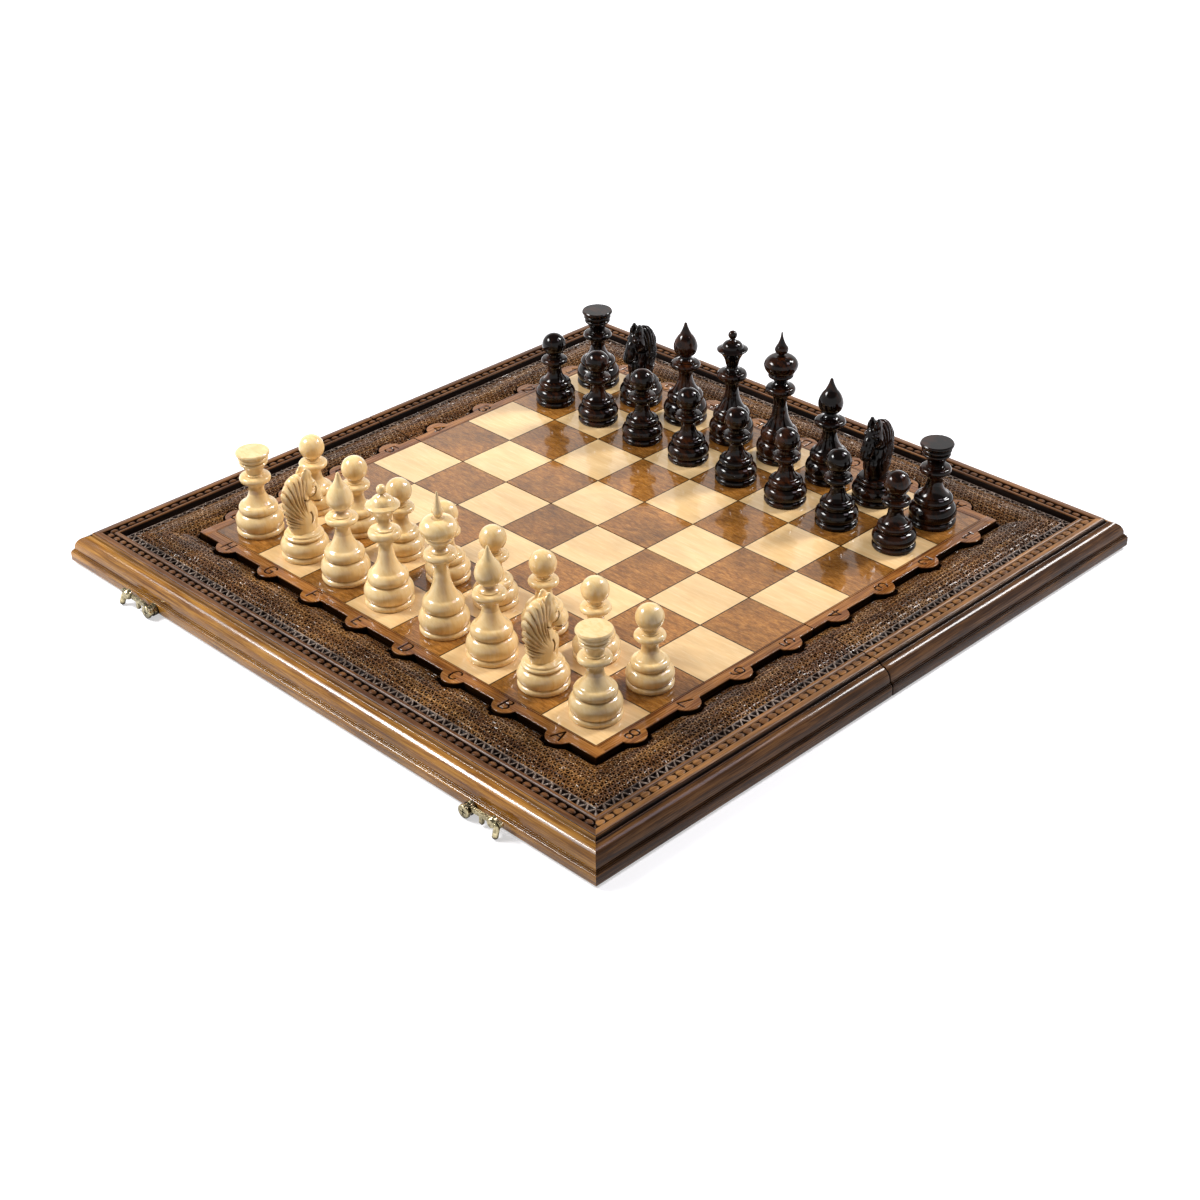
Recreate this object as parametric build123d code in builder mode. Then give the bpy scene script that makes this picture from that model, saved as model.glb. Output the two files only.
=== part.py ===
"""Folding carved board for chess and backgammon, with its turned chess pieces.

Millimetres. X runs along the fold, -Y is the clasp side and +Z is up. The board lies
open with the chess side up, so its two trays face the table. The origin is the centre
of the footprint at the lowest point. The near half is y < 0 and the far half is y > 0.
"""

import os
from math import cos, radians, sin, sqrt

from build123d import *

os.makedirs("parts", exist_ok=True)

# Chess field
square = 54.0
across = 8
scribe_line = 0.5  # dark line between two squares
veneer = 1.5  # thickness of a square inlay

# Carved top, from the squares outwards
border = 9.7
lobe_r = 11.0  # half round tab of the border beside every square
lobe_reach = 8.7  # how far a tab stands out of the border's straight edge
lobe_fillet = 1.5
field_width = 44.8
field_depth = 6.0  # from the rim down to the edges of the swell
crest_drop = 0.6  # the crest of the field lies this far below the rim
field_lap = 1.0  # the swell reaches this far into the board, the plate and the rim
rim_width = 15.8
panel_thickness = 10.0

# Frame rails
moulding_width = 14.7  # the rail shows this much outside the panel
rail_height = 26.0
rail_thickness = 20.0
panel_fit = 0.2  # gap round the panel's edge
step_depth = 2.7
step_width = 1.6
round_width = 11.0
round_end_depth = 14.6
strip_depth = 16.7  # depth at which the flat lower strip starts
lower_edge_r = 2.0
seam = 1.0
hinge_rail_width = 12.0

# Backgammon points in the trays
points_per_side = 6
point_length = 205.0
point_veneer = 1.2
point_gap = 3.0

# Butt hinges
barrel_r = 1.5
pin_r = 0.8
pin_fit = 0.05
barrel_fit = 0.35
leaf_length = 50.0
leaf_width = 10.0
leaf_thickness = 1.2
knuckles = 5
knuckle_gap = 0.3
hinge_offset = 170.0  # hinge centre from the board's centre line
screw_spacing = 30.0
screw_head_r = 2.4
screw_shank_r = 1.1
screw_length = 10.0
screw_fit = 0.05
slot_width = 0.6
slot_depth = 0.5

# Clasps
clasp_offset = 184.0  # post from the board's centre line
clasp_height = 4.4  # post above the rims
post_drum_r = 5.0
post_drum_length = 3.9
post_pin_r = 1.6
post_head_r = 5.2
post_head_length = 2.1
post_thread_r = 1.5
post_thread_length = 12.0
hook_thickness = 2.4
hook_side_gap = 0.3
hook_pin_fit = 0.08
hook_eye_r = 4.4
hook_arm_width = 3.4
hook_reach = 27.0
hook_rise = 4.1
boss_r = 4.2
boss_stand = 2.2
boss_taper = 25
finial_r = 2.0
finial_reach = 33.5
finial_rise = 0.85  # the finial stands this far above the boss
prong_start_angle = -14
prong_arc = 30
tab_r = 2.3
tab_lean = 3.5
tab_floor_gap = 0.3
catch_height = 7.1  # catch stud from the rims
catch_shank_r = 1.5
catch_head_r = 2.8
catch_head_length = 1.4
catch_flange_r = 2.8
catch_flange_length = 1.2
catch_play = 0.4
cross_width = 0.9
cross_depth = 0.8

# Chess pieces
major_base_r = 19.1
pawn_base_r = 17.5
king_height = 115.0
queen_height = 99.6
bishop_height = 91.0
rook_height = 70.6
pawn_height = 65.4
knight_height = 76.0
knight_pedestal_z = 22.0  # top of the knight's turned base
knight_half_width = 9.0
head_seat = 1.0  # the horse's neck starts this deep in its base
ear_taper = 11

# Derived sizes
rim_z = barrel_r
top_z = rim_z + rail_height
field_half = across * square / 2
plate_half = field_half + border
rim_inner = plate_half + field_width
rim_outer = rim_inner + rim_width
half_width = rim_outer + moulding_width
rail_inner = half_width - rail_thickness
panel_z = top_z - panel_thickness
floor_z = top_z - field_depth
seam_y = seam / 2
tray_inner = seam_y + hinge_rail_width
clasp_z = rim_z + clasp_height
catch_z = rim_z + catch_height
catch_reach = clasp_height + catch_height

front_plane = Plane(origin=(0, 0, 0), x_dir=(0, -1, 0), z_dir=(-1, 0, 0))
right_plane = Plane(origin=(0, -seam_y, 0), x_dir=(1, 0, 0), z_dir=(0, -1, 0))


def save(shape, name):
    """Labels a finished piece and writes it."""
    shape.label = name
    export_step(shape, f"parts/{name}.step")


def mirrored(shape, about):
    """The same shape on the other side of a plane."""
    with BuildPart() as copy:
        mirror(shape, about=about)
    return copy.part


# Carved panel
def plate_sketch():
    """The border plate of the near half: straight edges with a tab beside every square."""
    with BuildSketch() as plate:
        with Locations((0, -plate_half / 2)):
            Rectangle(2 * plate_half, plate_half)
        lobe_line = plate_half + lobe_reach - lobe_r
        for column in range(across):
            along = (column + 0.5) * square - field_half
            with Locations((along, -lobe_line)):
                Circle(lobe_r)
        for row in range(across // 2):
            along = -(row + 0.5) * square
            with Locations((lobe_line, along), (-lobe_line, along)):
                Circle(lobe_r)
        roots = [
            v
            for v in plate.vertices()
            if abs(max(abs(v.X), abs(v.Y)) - plate_half) < 0.01
            and min(abs(v.X), abs(v.Y)) < plate_half - 1
            and abs(v.Y) > 1
        ]
        fillet(roots, lobe_fillet)
        with Locations((0, 0)):
            Rectangle(4 * plate_half, seam, mode=Mode.SUBTRACT)
    return plate.sketch


def half_ring(outer, inner):
    """U-shaped band of the near half between two distances from the board's centre."""
    with BuildSketch() as ring:
        with Locations((0, -(outer + seam_y) / 2)):
            Rectangle(2 * outer, outer - seam_y)
        with Locations((0, -inner / 2)):
            Rectangle(2 * inner, inner, mode=Mode.SUBTRACT)
    return ring.sketch


def point_sketch(light):
    """Six backgammon points of one shade on the near half, three from each end wall."""
    pitch = (rail_inner - tray_inner) / points_per_side
    with BuildSketch() as points:
        for end in (-1, 1):
            for place in range(points_per_side):
                if (place % 2 == 0) == (light == (end > 0)):
                    middle = -tray_inner - (place + 0.5) * pitch
                    reach = (pitch - point_gap) / 2
                    with BuildLine():
                        Polyline(
                            (end * rail_inner, middle - reach),
                            (end * rail_inner, middle + reach),
                            (end * (rail_inner - point_length), middle),
                            close=True,
                        )
                    make_face()
    return points.sketch


def square_sketch(light):
    """The sixteen squares of one shade on the near half."""
    with BuildSketch() as squares:
        for row in range(across // 2):
            for column in range(across):
                if ((row + column) % 2 == 1) == light:
                    x = (column + 0.5) * square - field_half
                    y = (row + 0.5) * square - field_half
                    with Locations((x, y)):
                        Rectangle(square - scribe_line, square - scribe_line)
        Rectangle(4 * plate_half, seam, mode=Mode.SUBTRACT)
    return squares.sketch


panel_edge = rim_outer - panel_fit
plate = plate_sketch()
rim_band = half_ring(panel_edge, rim_inner)
squares_of = {shade: square_sketch(shade == "light") for shade in ("light", "dark")}
points_of = {shade: point_sketch(shade == "light") for shade in ("light", "dark")}
with BuildPart() as near_panel:
    with BuildSketch(Plane.XY.offset(panel_z)):
        with Locations((0, -(panel_edge + seam_y) / 2)):
            Rectangle(2 * panel_edge, panel_edge - seam_y)
    extrude(amount=panel_thickness - field_depth)
    with BuildSketch(Plane.XY.offset(panel_z)):
        add(rim_band)
    extrude(amount=panel_thickness)
    # The field is one rounded swell that turns the corners with a mitre.
    middle = (plate_half + rim_inner) / 2
    reach = field_width / 2 + field_lap
    with BuildLine(Plane.XY.offset(floor_z)) as field_line:
        Polyline(
            (-middle, -seam_y),
            (-middle, -middle),
            (middle, -middle),
            (middle, -seam_y),
        )
    with BuildSketch(Plane(origin=(-middle, -seam_y, floor_z), x_dir=(1, 0, 0), z_dir=(0, -1, 0))):
        with BuildLine():
            ThreePointArc((-reach, 0), (0, field_depth - crest_drop), (reach, 0))
            Polyline((reach, 0), (reach, -field_lap), (-reach, -field_lap), (-reach, 0))
        make_face()
    sweep(path=field_line.wires()[0], transition=Transition.RIGHT)
    with BuildSketch(Plane.XY.offset(panel_z)):
        add(plate)
    extrude(amount=panel_thickness)
    with BuildSketch(Plane.XY.offset(top_z)):
        with Locations((0, -field_half / 2)):
            Rectangle(2 * field_half, field_half)
    extrude(amount=-veneer, mode=Mode.SUBTRACT)
    with BuildSketch(Plane.XY.offset(panel_z)):
        add(points_of["light"])
        add(points_of["dark"])
    extrude(amount=point_veneer, mode=Mode.SUBTRACT)
save(near_panel.part, "near_panel")
save(mirrored(near_panel.part, Plane.XZ), "far_panel")

for shade, other in (("light", "dark"), ("dark", "light")):
    with BuildPart() as squares:
        with BuildSketch(Plane.XY.offset(top_z - veneer)):
            add(squares_of[shade])
        extrude(amount=veneer)
    save(squares.part, f"near_{shade}_squares")
    save(mirrored(squares.part, Plane.XZ), f"far_{other}_squares")
    with BuildPart() as points:
        with BuildSketch(Plane.XY.offset(panel_z)):
            add(points_of[shade])
        extrude(amount=point_veneer)
    save(points.part, f"near_{shade}_points")
    save(mirrored(points.part, Plane.XZ), f"far_{shade}_points")


# Frame rails
def rail_profile():
    """Moulded rail: a step, a large round, a bead and a flat strip outside, a ledge inside."""
    bottom = rim_z
    bead = rim_outer + step_width + round_width
    with BuildSketch() as section:
        with BuildLine():
            Polyline(
                (rail_inner, bottom),
                (rail_inner, panel_z),
                (rim_outer, panel_z),
                (rim_outer, top_z),
                (rim_outer + step_width / 4, top_z),
                (rim_outer + step_width / 4, top_z - step_depth),
                (rim_outer + step_width, top_z - step_depth),
            )
            EllipticalCenterArc(
                (rim_outer + step_width, top_z - round_end_depth),
                round_width,
                round_end_depth - step_depth,
                start_angle=0,
                arc_size=90,
            )
            Polyline(
                (bead, top_z - round_end_depth),
                (bead + 0.5, top_z - round_end_depth - 0.6),
                (half_width, top_z - strip_depth),
                (half_width, bottom + lower_edge_r),
            )
            ThreePointArc(
                (half_width, bottom + lower_edge_r),
                (
                    half_width - lower_edge_r * (1 - cos(radians(45))),
                    bottom + lower_edge_r * (1 - sin(radians(45))),
                ),
                (half_width - lower_edge_r, bottom),
            )
            Line((half_width - lower_edge_r, bottom), (rail_inner, bottom))
        make_face()
    return section.sketch


rail_section = rail_profile()
with BuildPart() as near_front_rail:
    with BuildSketch(front_plane):
        add(rail_section)
    extrude(amount=half_width, both=True)
    split(bisect_by=Plane(origin=(0, 0, 0), z_dir=(1, 1, 0)), keep=Keep.BOTTOM)
    split(bisect_by=Plane(origin=(0, 0, 0), z_dir=(-1, 1, 0)), keep=Keep.BOTTOM)
    rail_whole = near_front_rail.part
    with BuildSketch(Plane(origin=(0, -half_width, 0), x_dir=(1, 0, 0), z_dir=(0, -1, 0))):
        with Locations((clasp_offset, clasp_z), (-clasp_offset, clasp_z)):
            Circle(post_thread_r + screw_fit)
    extrude(amount=-post_thread_length - screw_fit, mode=Mode.SUBTRACT)
save(near_front_rail.part, "near_front_rail")

with BuildPart() as far_back_rail:
    mirror(rail_whole, about=Plane.XZ)
    with BuildSketch(Plane(origin=(0, half_width, 0), x_dir=(1, 0, 0), z_dir=(0, -1, 0))):
        with Locations((clasp_offset, catch_z), (-clasp_offset, catch_z)):
            Circle(post_thread_r + screw_fit)
    extrude(amount=post_thread_length + screw_fit, mode=Mode.SUBTRACT)
save(far_back_rail.part, "far_back_rail")

with BuildPart() as near_right_rail:
    with BuildSketch(right_plane):
        add(rail_section)
    extrude(amount=half_width)
    split(bisect_by=Plane(origin=(0, 0, 0), z_dir=(1, 1, 0)), keep=Keep.TOP)
save(near_right_rail.part, "near_right_rail")
near_left = mirrored(near_right_rail.part, Plane.YZ)
save(near_left, "near_left_rail")
save(mirrored(near_right_rail.part, Plane.XZ), "far_right_rail")
save(mirrored(near_left, Plane.XZ), "far_left_rail")

# Hinge rails, mortised for the leaves and relieved for the barrels
hinge_places = (-hinge_offset, hinge_offset)
leaf_y = -seam_y - leaf_width / 2
screw_places = [
    (place + way * screw_spacing / 2, leaf_y) for place in hinge_places for way in (-1, 1)
]
hinge_planes = [
    Plane(origin=(place - leaf_length / 2, 0, rim_z), x_dir=(0, 1, 0), z_dir=(1, 0, 0))
    for place in hinge_places
]


def barrel(radius, start, length, mode):
    """A stretch of both barrels, measured from each hinge's left end."""
    with BuildSketch(*[plane.offset(start) for plane in hinge_planes]) as ends:
        Circle(radius)
    extrude(ends.sketch, amount=length, mode=mode)


def screw_shape(fit, mode):
    """Countersunk screws up through the leaves, or the holes that they need."""
    with Locations(*[(x, y, rim_z) for x, y in screw_places]):
        Cone(
            screw_head_r + fit,
            screw_shank_r + fit,
            leaf_thickness,
            align=(Align.CENTER, Align.CENTER, Align.MIN),
            mode=mode,
        )
        Cylinder(
            screw_shank_r + fit,
            screw_length + fit,
            align=(Align.CENTER, Align.CENTER, Align.MIN),
            mode=mode,
        )


with BuildPart() as near_hinge_rail:
    with BuildSketch(Plane.XY.offset(rim_z)):
        with Locations((0, -(seam_y + tray_inner) / 2)):
            Rectangle(2 * rail_inner, hinge_rail_width)
    extrude(amount=panel_z - rim_z)
    with BuildSketch(Plane.XY.offset(rim_z)):
        with Locations(*[(place, leaf_y) for place in hinge_places]):
            Rectangle(leaf_length, leaf_width)
    extrude(amount=leaf_thickness, mode=Mode.SUBTRACT)
    barrel(barrel_r + barrel_fit, -knuckle_gap, leaf_length + 2 * knuckle_gap, Mode.SUBTRACT)
    screw_shape(screw_fit, Mode.SUBTRACT)
save(near_hinge_rail.part, "near_hinge_rail")
save(mirrored(near_hinge_rail.part, Plane.XZ), "far_hinge_rail")

knuckle = leaf_length / knuckles


def hinge_leaves(first):
    """Two leaves with every second knuckle, starting at the first or second."""
    with BuildPart() as leaves:
        with BuildSketch(Plane.XY.offset(rim_z)):
            with Locations(*[(place, -(seam_y + leaf_width) / 2) for place in hinge_places]):
                Rectangle(leaf_length, seam_y + leaf_width)
        extrude(amount=leaf_thickness)
        for place in range(knuckles):
            start = place * knuckle
            if place % 2 == first:
                barrel(barrel_r, start + knuckle_gap / 2, knuckle - knuckle_gap, Mode.ADD)
            else:
                barrel(
                    barrel_r + barrel_fit,
                    start - knuckle_gap / 2,
                    knuckle + knuckle_gap,
                    Mode.SUBTRACT,
                )
        barrel(pin_r + pin_fit, -1, leaf_length + 2, Mode.SUBTRACT)
        screw_shape(screw_fit, Mode.SUBTRACT)
    return leaves.part


save(hinge_leaves(0), "near_hinge_leaves")
save(mirrored(hinge_leaves(1), Plane.XZ), "far_hinge_leaves")

with BuildPart() as hinge_pins:
    barrel(pin_r, 0, leaf_length, Mode.ADD)
save(hinge_pins.part, "hinge_pins")

with BuildPart() as hinge_screws:
    screw_shape(0, Mode.ADD)
    with BuildSketch(Plane.XY.offset(rim_z)):
        with Locations(*screw_places):
            Rectangle(3 * screw_head_r, slot_width)
    extrude(amount=slot_depth, mode=Mode.SUBTRACT)
save(hinge_screws.part, "near_hinge_screws")
save(mirrored(hinge_screws.part, Plane.XZ), "far_hinge_screws")

# Clasp posts, drawn on the strip with the outward direction as the plane's normal
hook_start = post_drum_length + hook_side_gap
head_start = hook_start + hook_thickness + hook_side_gap


def strip_plane(stand):
    """Plane across the right clasp's post, at a distance in front of the strip."""
    origin = (clasp_offset, -half_width - stand, clasp_z)
    return Plane(origin=origin, x_dir=(1, 0, 0), z_dir=(0, -1, 0))


with BuildPart() as clasp_post:
    for start, length, radius in (
        (-post_thread_length, post_thread_length, post_thread_r),
        (0, post_drum_length, post_drum_r),
        (post_drum_length, head_start - post_drum_length, post_pin_r),
        (head_start, post_head_length, post_head_r),
    ):
        with BuildSketch(strip_plane(start)):
            Circle(radius)
        extrude(amount=length)
    head_face = clasp_post.faces().sort_by(Axis.Y)[0]
    fillet(head_face.edges(), post_head_length / 3)
    with BuildSketch(strip_plane(head_start + post_head_length)):
        Rectangle(post_head_r, cross_width)
        Rectangle(cross_width, post_head_r)
    extrude(amount=-cross_depth, mode=Mode.SUBTRACT)
save(clasp_post.part, "right_clasp_post")
save(mirrored(clasp_post.part, Plane.YZ), "left_clasp_post")

# Clasp hook: an eye on the post, an arm over the open mouth, a boss and a hanging tab
mouth_r = catch_shank_r + catch_play
prong_width = hook_arm_width - catch_play
prong_line = catch_reach + mouth_r + prong_width / 2
tab_x = (hook_reach + finial_reach) / 2 + 1
tab_drop = clasp_z - tab_floor_gap
with BuildPart() as clasp_hook:
    with BuildSketch(strip_plane(hook_start)):
        Circle(hook_eye_r)
        with BuildLine():
            Polyline(
                (0, 0),
                (catch_reach / 2, mouth_r + hook_arm_width / 2),
                (catch_reach, mouth_r + hook_arm_width / 2),
                (hook_reach, hook_rise),
                (finial_reach, hook_rise + finial_rise),
            )
        trace(line_width=hook_arm_width)
        with BuildLine():
            CenterArc((0, 0), prong_line, prong_start_angle, prong_arc)
        trace(line_width=prong_width)
        with Locations((hook_reach, hook_rise)):
            Circle(boss_r)
        with Locations((finial_reach, hook_rise + finial_rise)):
            Circle(finial_r)
        with Locations((catch_reach, 0)):
            Circle(mouth_r, mode=Mode.SUBTRACT)
        Circle(post_pin_r + hook_pin_fit, mode=Mode.SUBTRACT)
    extrude(amount=hook_thickness)
    with BuildSketch(strip_plane(hook_start + hook_thickness)):
        with Locations((hook_reach, hook_rise)):
            Circle(boss_r)
    extrude(amount=boss_stand, taper=boss_taper)
    tab_start = strip_plane(hook_start + hook_thickness / 2)
    with BuildLine(mode=Mode.PRIVATE) as tab_path:
        FilletPolyline(
            tab_start.from_local_coords(Vector(hook_reach, hook_rise, 0)),
            tab_start.from_local_coords(Vector(tab_x, hook_rise - 0.5, 1)),
            tab_start.from_local_coords(Vector(tab_x + 0.5, -tab_drop + tab_r, tab_lean)),
            radius=2.5,
        )
    with BuildSketch(Plane(origin=tab_path.line @ 0, z_dir=tab_path.line % 0)):
        Circle(tab_r)
    sweep(path=tab_path.line)
    with Locations(tab_path.line @ 1):
        Sphere(tab_r)
save(clasp_hook.part, "right_clasp_hook")
save(mirrored(clasp_hook.part, Plane.YZ), "left_clasp_hook")

# Catch studs on the far half, under the posts when the board is shut
catch_head_start = hook_start + hook_thickness + catch_play
with BuildPart() as clasp_catches:
    for start, length, radius in (
        (-post_thread_length, post_thread_length, post_thread_r),
        (0, catch_flange_length, catch_flange_r),
        (catch_flange_length, catch_head_start - catch_flange_length, catch_shank_r),
        (catch_head_start, catch_head_length, catch_head_r),
    ):
        plane = Plane(origin=(0, half_width + start, 0), x_dir=(-1, 0, 0), z_dir=(0, 1, 0))
        with BuildSketch(plane):
            with Locations((-clasp_offset, catch_z), (clasp_offset, catch_z)):
                Circle(radius)
        extrude(amount=length)
save(clasp_catches.part, "clasp_catches")


# Chess pieces
def turned(x, y, outline):
    """Revolves an outline of (radius, height) points; four numbers make an arc by its middle."""
    plane = Plane(origin=(x, y, top_z), x_dir=(1, 0, 0), z_dir=(0, -1, 0))
    with BuildPart() as piece:
        with BuildSketch(plane):
            with BuildLine():
                here = outline[0]
                for step in outline[1:]:
                    if len(step) == 4:
                        ThreePointArc(here, step[:2], step[2:])
                    else:
                        Line(here, step)
                    here = step[-2:]
                Line(here, outline[0])
            make_face()
        revolve(axis=Axis((x, y, top_z), (0, 0, 1)))
    return piece.part


def foot_and_bulge(base_r, bulge_top):
    """Foot ring and the large round of every piece, up to the groove above it."""
    foot = 4.4
    return [
        (0, 0),
        (base_r - 0.7, 0),
        (base_r, foot / 2, base_r - 0.7, foot),
        (base_r - 1.6, foot + 0.4),
        (base_r + 0.1, (foot + bulge_top) / 2, base_r - 3.4, bulge_top),
        (base_r - 4.6, bulge_top + 0.5),
        (base_r - 4.6, bulge_top + 1.3),
    ]


def bell(base_r, bulge_top, neck_r, neck_z):
    """The bell above the groove, drawn in to a slender neck."""
    low = bulge_top + 1.8
    shoulder = low + 0.36 * (neck_z - low)
    return [
        (base_r - 3.7, low),
        (base_r - 3.4, (low + shoulder) / 2 - 0.6, base_r - 7.0, shoulder),
        ((base_r - 7.0) * 0.45 + neck_r * 0.55 - 0.9, (shoulder + neck_z) / 2, neck_r, neck_z),
    ]


def collar(neck_r, collar_r, low, high, above_r):
    """The neck opens to a rounded collar with a small step on it."""
    return [
        (neck_r - 0.1, low - 4.0, neck_r + 1.6, low),
        (collar_r - 0.8, low + 1.4),
        (collar_r, (low + high) / 2 + 0.5, collar_r - 1.6, high),
        (above_r + 1.2, high + 0.3),
        (above_r + 1.2, high + 1.4),
        (above_r, high + 1.8),
    ]


def crown(flat_r, height):
    """Rounds off into a small flat on top of a piece."""
    return [(flat_r, height), (0, height)]


def pawn_outline():
    ball_r = 10.4
    neck_r = 6.0
    top = pawn_height
    seat = sqrt(ball_r**2 - neck_r**2)
    return (
        foot_and_bulge(pawn_base_r, 15.0)
        + bell(pawn_base_r, 15.0, 6.1, top - 34.4)
        + collar(6.1, 11.6, top - 28.4, top - 22.8, neck_r)
        + [
            (neck_r, top - ball_r - seat),
            (ball_r, top - ball_r, 0, top),
        ]
    )


def rook_outline():
    cup_r = 13.6
    top = rook_height
    return (
        foot_and_bulge(major_base_r, 17.4)
        + bell(major_base_r, 17.4, 6.4, top - 34.6)
        + collar(6.4, 12.6, top - 27.1, top - 21.0, 6.8)
        + [
            (7.4, top - 15.6, 9.4, top - 12.6),
            (10.2, top - 12.2),
            (10.2, top - 10.2),
            (11.4, top - 9.7),
            (11.4, top - 8.0),
            (cup_r - 0.8, top - 5.6),
            (cup_r + 0.4, top - 3.4, cup_r - 0.6, top - 1.4),
        ]
        + crown(cup_r * 0.4, top)
    )


def bishop_outline():
    head_r = 9.9
    top = bishop_height
    return (
        foot_and_bulge(major_base_r, 18.0)
        + bell(major_base_r, 18.0, 6.1, top - 50.0)
        + collar(6.1, 12.9, top - 42.5, top - 36.6, 7.4)
        + [
            (5.0, top - 32.6),
            (4.6, top - 31.4),
            (head_r - 1.6, top - 27.8, head_r, top - 21.5),
            (head_r - 1.6, top - 16.0, 5.4, top - 11.0),
            (3.2, top - 6.8, 1.2, top - 0.9),
        ]
        + crown(0.4, top)
    )


def queen_outline():
    saucer_r = 13.2
    ball_r = 3.8
    neck_r = 1.9
    top = queen_height
    seat = sqrt(ball_r**2 - neck_r**2)
    return (
        foot_and_bulge(major_base_r, 18.0)
        + bell(major_base_r, 18.0, 6.0, top - 56.2)
        + collar(6.0, 12.8, top - 44.1, top - 37.0, 7.0)
        + [
            (5.2, top - 33.6, 5.6, top - 30.2),
            (7.6, top - 23.6, saucer_r - 0.6, top - 17.4),
            (saucer_r, top - 16.6, saucer_r - 0.4, top - 16.0),
            (9.2, top - 14.6),
            (8.2, top - 12.2, 4.6, top - 9.4),
            (2.4, top - 8.0),
            (neck_r, top - ball_r - seat),
            (ball_r, top - ball_r, 0, top),
        ]
    )


def king_outline():
    turnip_r = 14.4
    spike_r = 4.6
    top = king_height
    return (
        foot_and_bulge(major_base_r, 18.0)
        + bell(major_base_r, 18.0, 6.2, top - 69.0)
        + collar(6.2, 12.7, top - 55.0, top - 48.6, 6.8)
        + [
            (5.4, top - 45.0),
            (6.4, top - 42.4, 9.6, top - 40.0),
            (10.6, top - 38.8, 10.2, top - 37.4),
            (9.8, top - 36.8),
            (turnip_r - 1.4, top - 33.4, turnip_r, top - 28.4),
            (turnip_r - 2.6, top - 23.8, 4.6, top - 21.4),
            (2.6, top - 20.8),
            (2.6, top - 19.6),
            (spike_r, top - 16.4, 3.6, top - 12.6),
            (1.9, top - 7.0, 0.9, top - 0.9),
        ]
        + crown(0.3, top)
    )


def lofted(place, size, facing, sections):
    """Rounded limb through ellipses, each (along, up, lean in degrees, half depth, half width).

    The lengths are shares of the limb's size, which is (height, half width).
    """
    x, y, z = place
    high, wide = size
    with BuildPart() as limb:
        for along, up, lean, half_depth, half_width_here in sections:
            normal = (0, facing * sin(radians(lean)), cos(radians(lean)))
            middle = (x, y + facing * along * high, z + up * high)
            with BuildSketch(Plane(origin=middle, x_dir=(1, 0, 0), z_dir=normal)):
                Ellipse(half_width_here * wide, half_depth * high)
        loft()
    return limb.part


def horse_head(x, y, facing):
    """Arched neck, face and ears of a horse that looks along +Y or -Y."""
    base = top_z + knight_pedestal_z - head_seat
    high = knight_height - knight_pedestal_z + head_seat
    wide = knight_half_width
    neck = lofted(
        (x, y, base),
        (high, wide),
        facing,
        (
            (0, 0.01, 0, 0.227, 1.0),
            (-0.018, 0.20, -8, 0.262, 1.0),
            (-0.073, 0.43, -4, 0.251, 0.956),
            (-0.087, 0.64, 25, 0.225, 0.889),
            (-0.009, 0.79, 60, 0.149, 0.733),
            (0.082, 0.84, 85, 0.084, 0.511),
        ),
    )
    face = lofted(
        (x, y, base),
        (high, wide),
        facing,
        (
            (-0.073, 0.76, 125, 0.127, 0.689),
            (0.073, 0.69, 130, 0.164, 0.767),
            (0.182, 0.58, 132, 0.127, 0.622),
            (0.273, 0.49, 130, 0.091, 0.522),
            (0.318, 0.45, 130, 0.062, 0.40),
        ),
    )
    with BuildPart() as head:
        add(neck)
        add(face)
        for side in (-1, 1):
            foot_of_ear = (x + side * 0.4 * wide, y + facing * 0.01 * high, base + 0.82 * high)
            with BuildSketch(Plane(origin=foot_of_ear, x_dir=(1, 0, 0))):
                Ellipse(0.244 * wide, 0.053 * high)
            extrude(amount=0.18 * high, taper=ear_taper)
    return head.part


def knight_pedestal():
    """The knight's turned base: one large round, two rings and a small platform."""
    return foot_and_bulge(major_base_r, 16.0) + [
        (15.6, 17.8),
        (15.8, 18.8, 14.8, 19.8),
        (14.2, 20.2),
        (14.0, 21.4, 13.0, knight_pedestal_z),
        (0, knight_pedestal_z),
    ]


def chess_piece(kind, x, y, facing):
    """One piece standing on the squares at (x, y)."""
    if kind == "knight":
        base = turned(x, y, knight_pedestal())
        head = horse_head(x, y, facing)
        with BuildPart() as knight:
            add(base)
            add(head)
        return knight.part
    return turned(x, y, outlines[kind]())


outlines = {
    "pawn": pawn_outline,
    "rook": rook_outline,
    "bishop": bishop_outline,
    "queen": queen_outline,
    "king": king_outline,
}
back_row = (
    ("rook", "_left"),
    ("knight", "_left"),
    ("bishop", "_left"),
    ("queen", ""),
    ("king", ""),
    ("bishop", "_right"),
    ("knight", "_right"),
    ("rook", "_right"),
)
# A few pieces stand a little off the middle of their squares.
nudge = {
    "white_queen": (-4.6, -0.8),
    "white_rook_left": (-3.8, -0.4),
    "white_bishop_left": (-2.6, -0.6),
    "white_knight_right": (0.0, 1.4),
    "white_bishop_right": (-0.6, 2.0),
    "white_king": (1.2, 2.0),
    "black_knight_right": (-2.6, -2.0),
    "black_pawn_8": (2.4, 2.0),
}


def stand(name, kind, column, row, facing):
    """Makes a piece on its square and writes it."""
    dx, dy = nudge.get(name, (0, 0))
    x = (column + 0.5) * square - field_half + dx
    y = (row + 0.5) * square - field_half + dy
    save(chess_piece(kind, x, y, facing), name)


for colour, back, front, facing in (("white", 0, 1, 1), ("black", across - 1, across - 2, -1)):
    for column, (kind, side) in enumerate(back_row):
        stand(f"{colour}_{kind}{side}", kind, column, back, facing)
    for column in range(across):
        stand(f"{colour}_pawn_{column + 1}", "pawn", column, front, facing)
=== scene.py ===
"""Looks of the folding carved board and its turned chess pieces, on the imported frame.

Sizes are in millimetres until a mesh is made. A side of the board is drawn once in its
own coordinates: "along" the side, "out" from the board's centre, and up from the squares.
"""

from math import atan2, cos, pi, radians, sin, sqrt

import bmesh
import bpy
import numpy as np
from mathutils import Matrix, Vector


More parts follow.
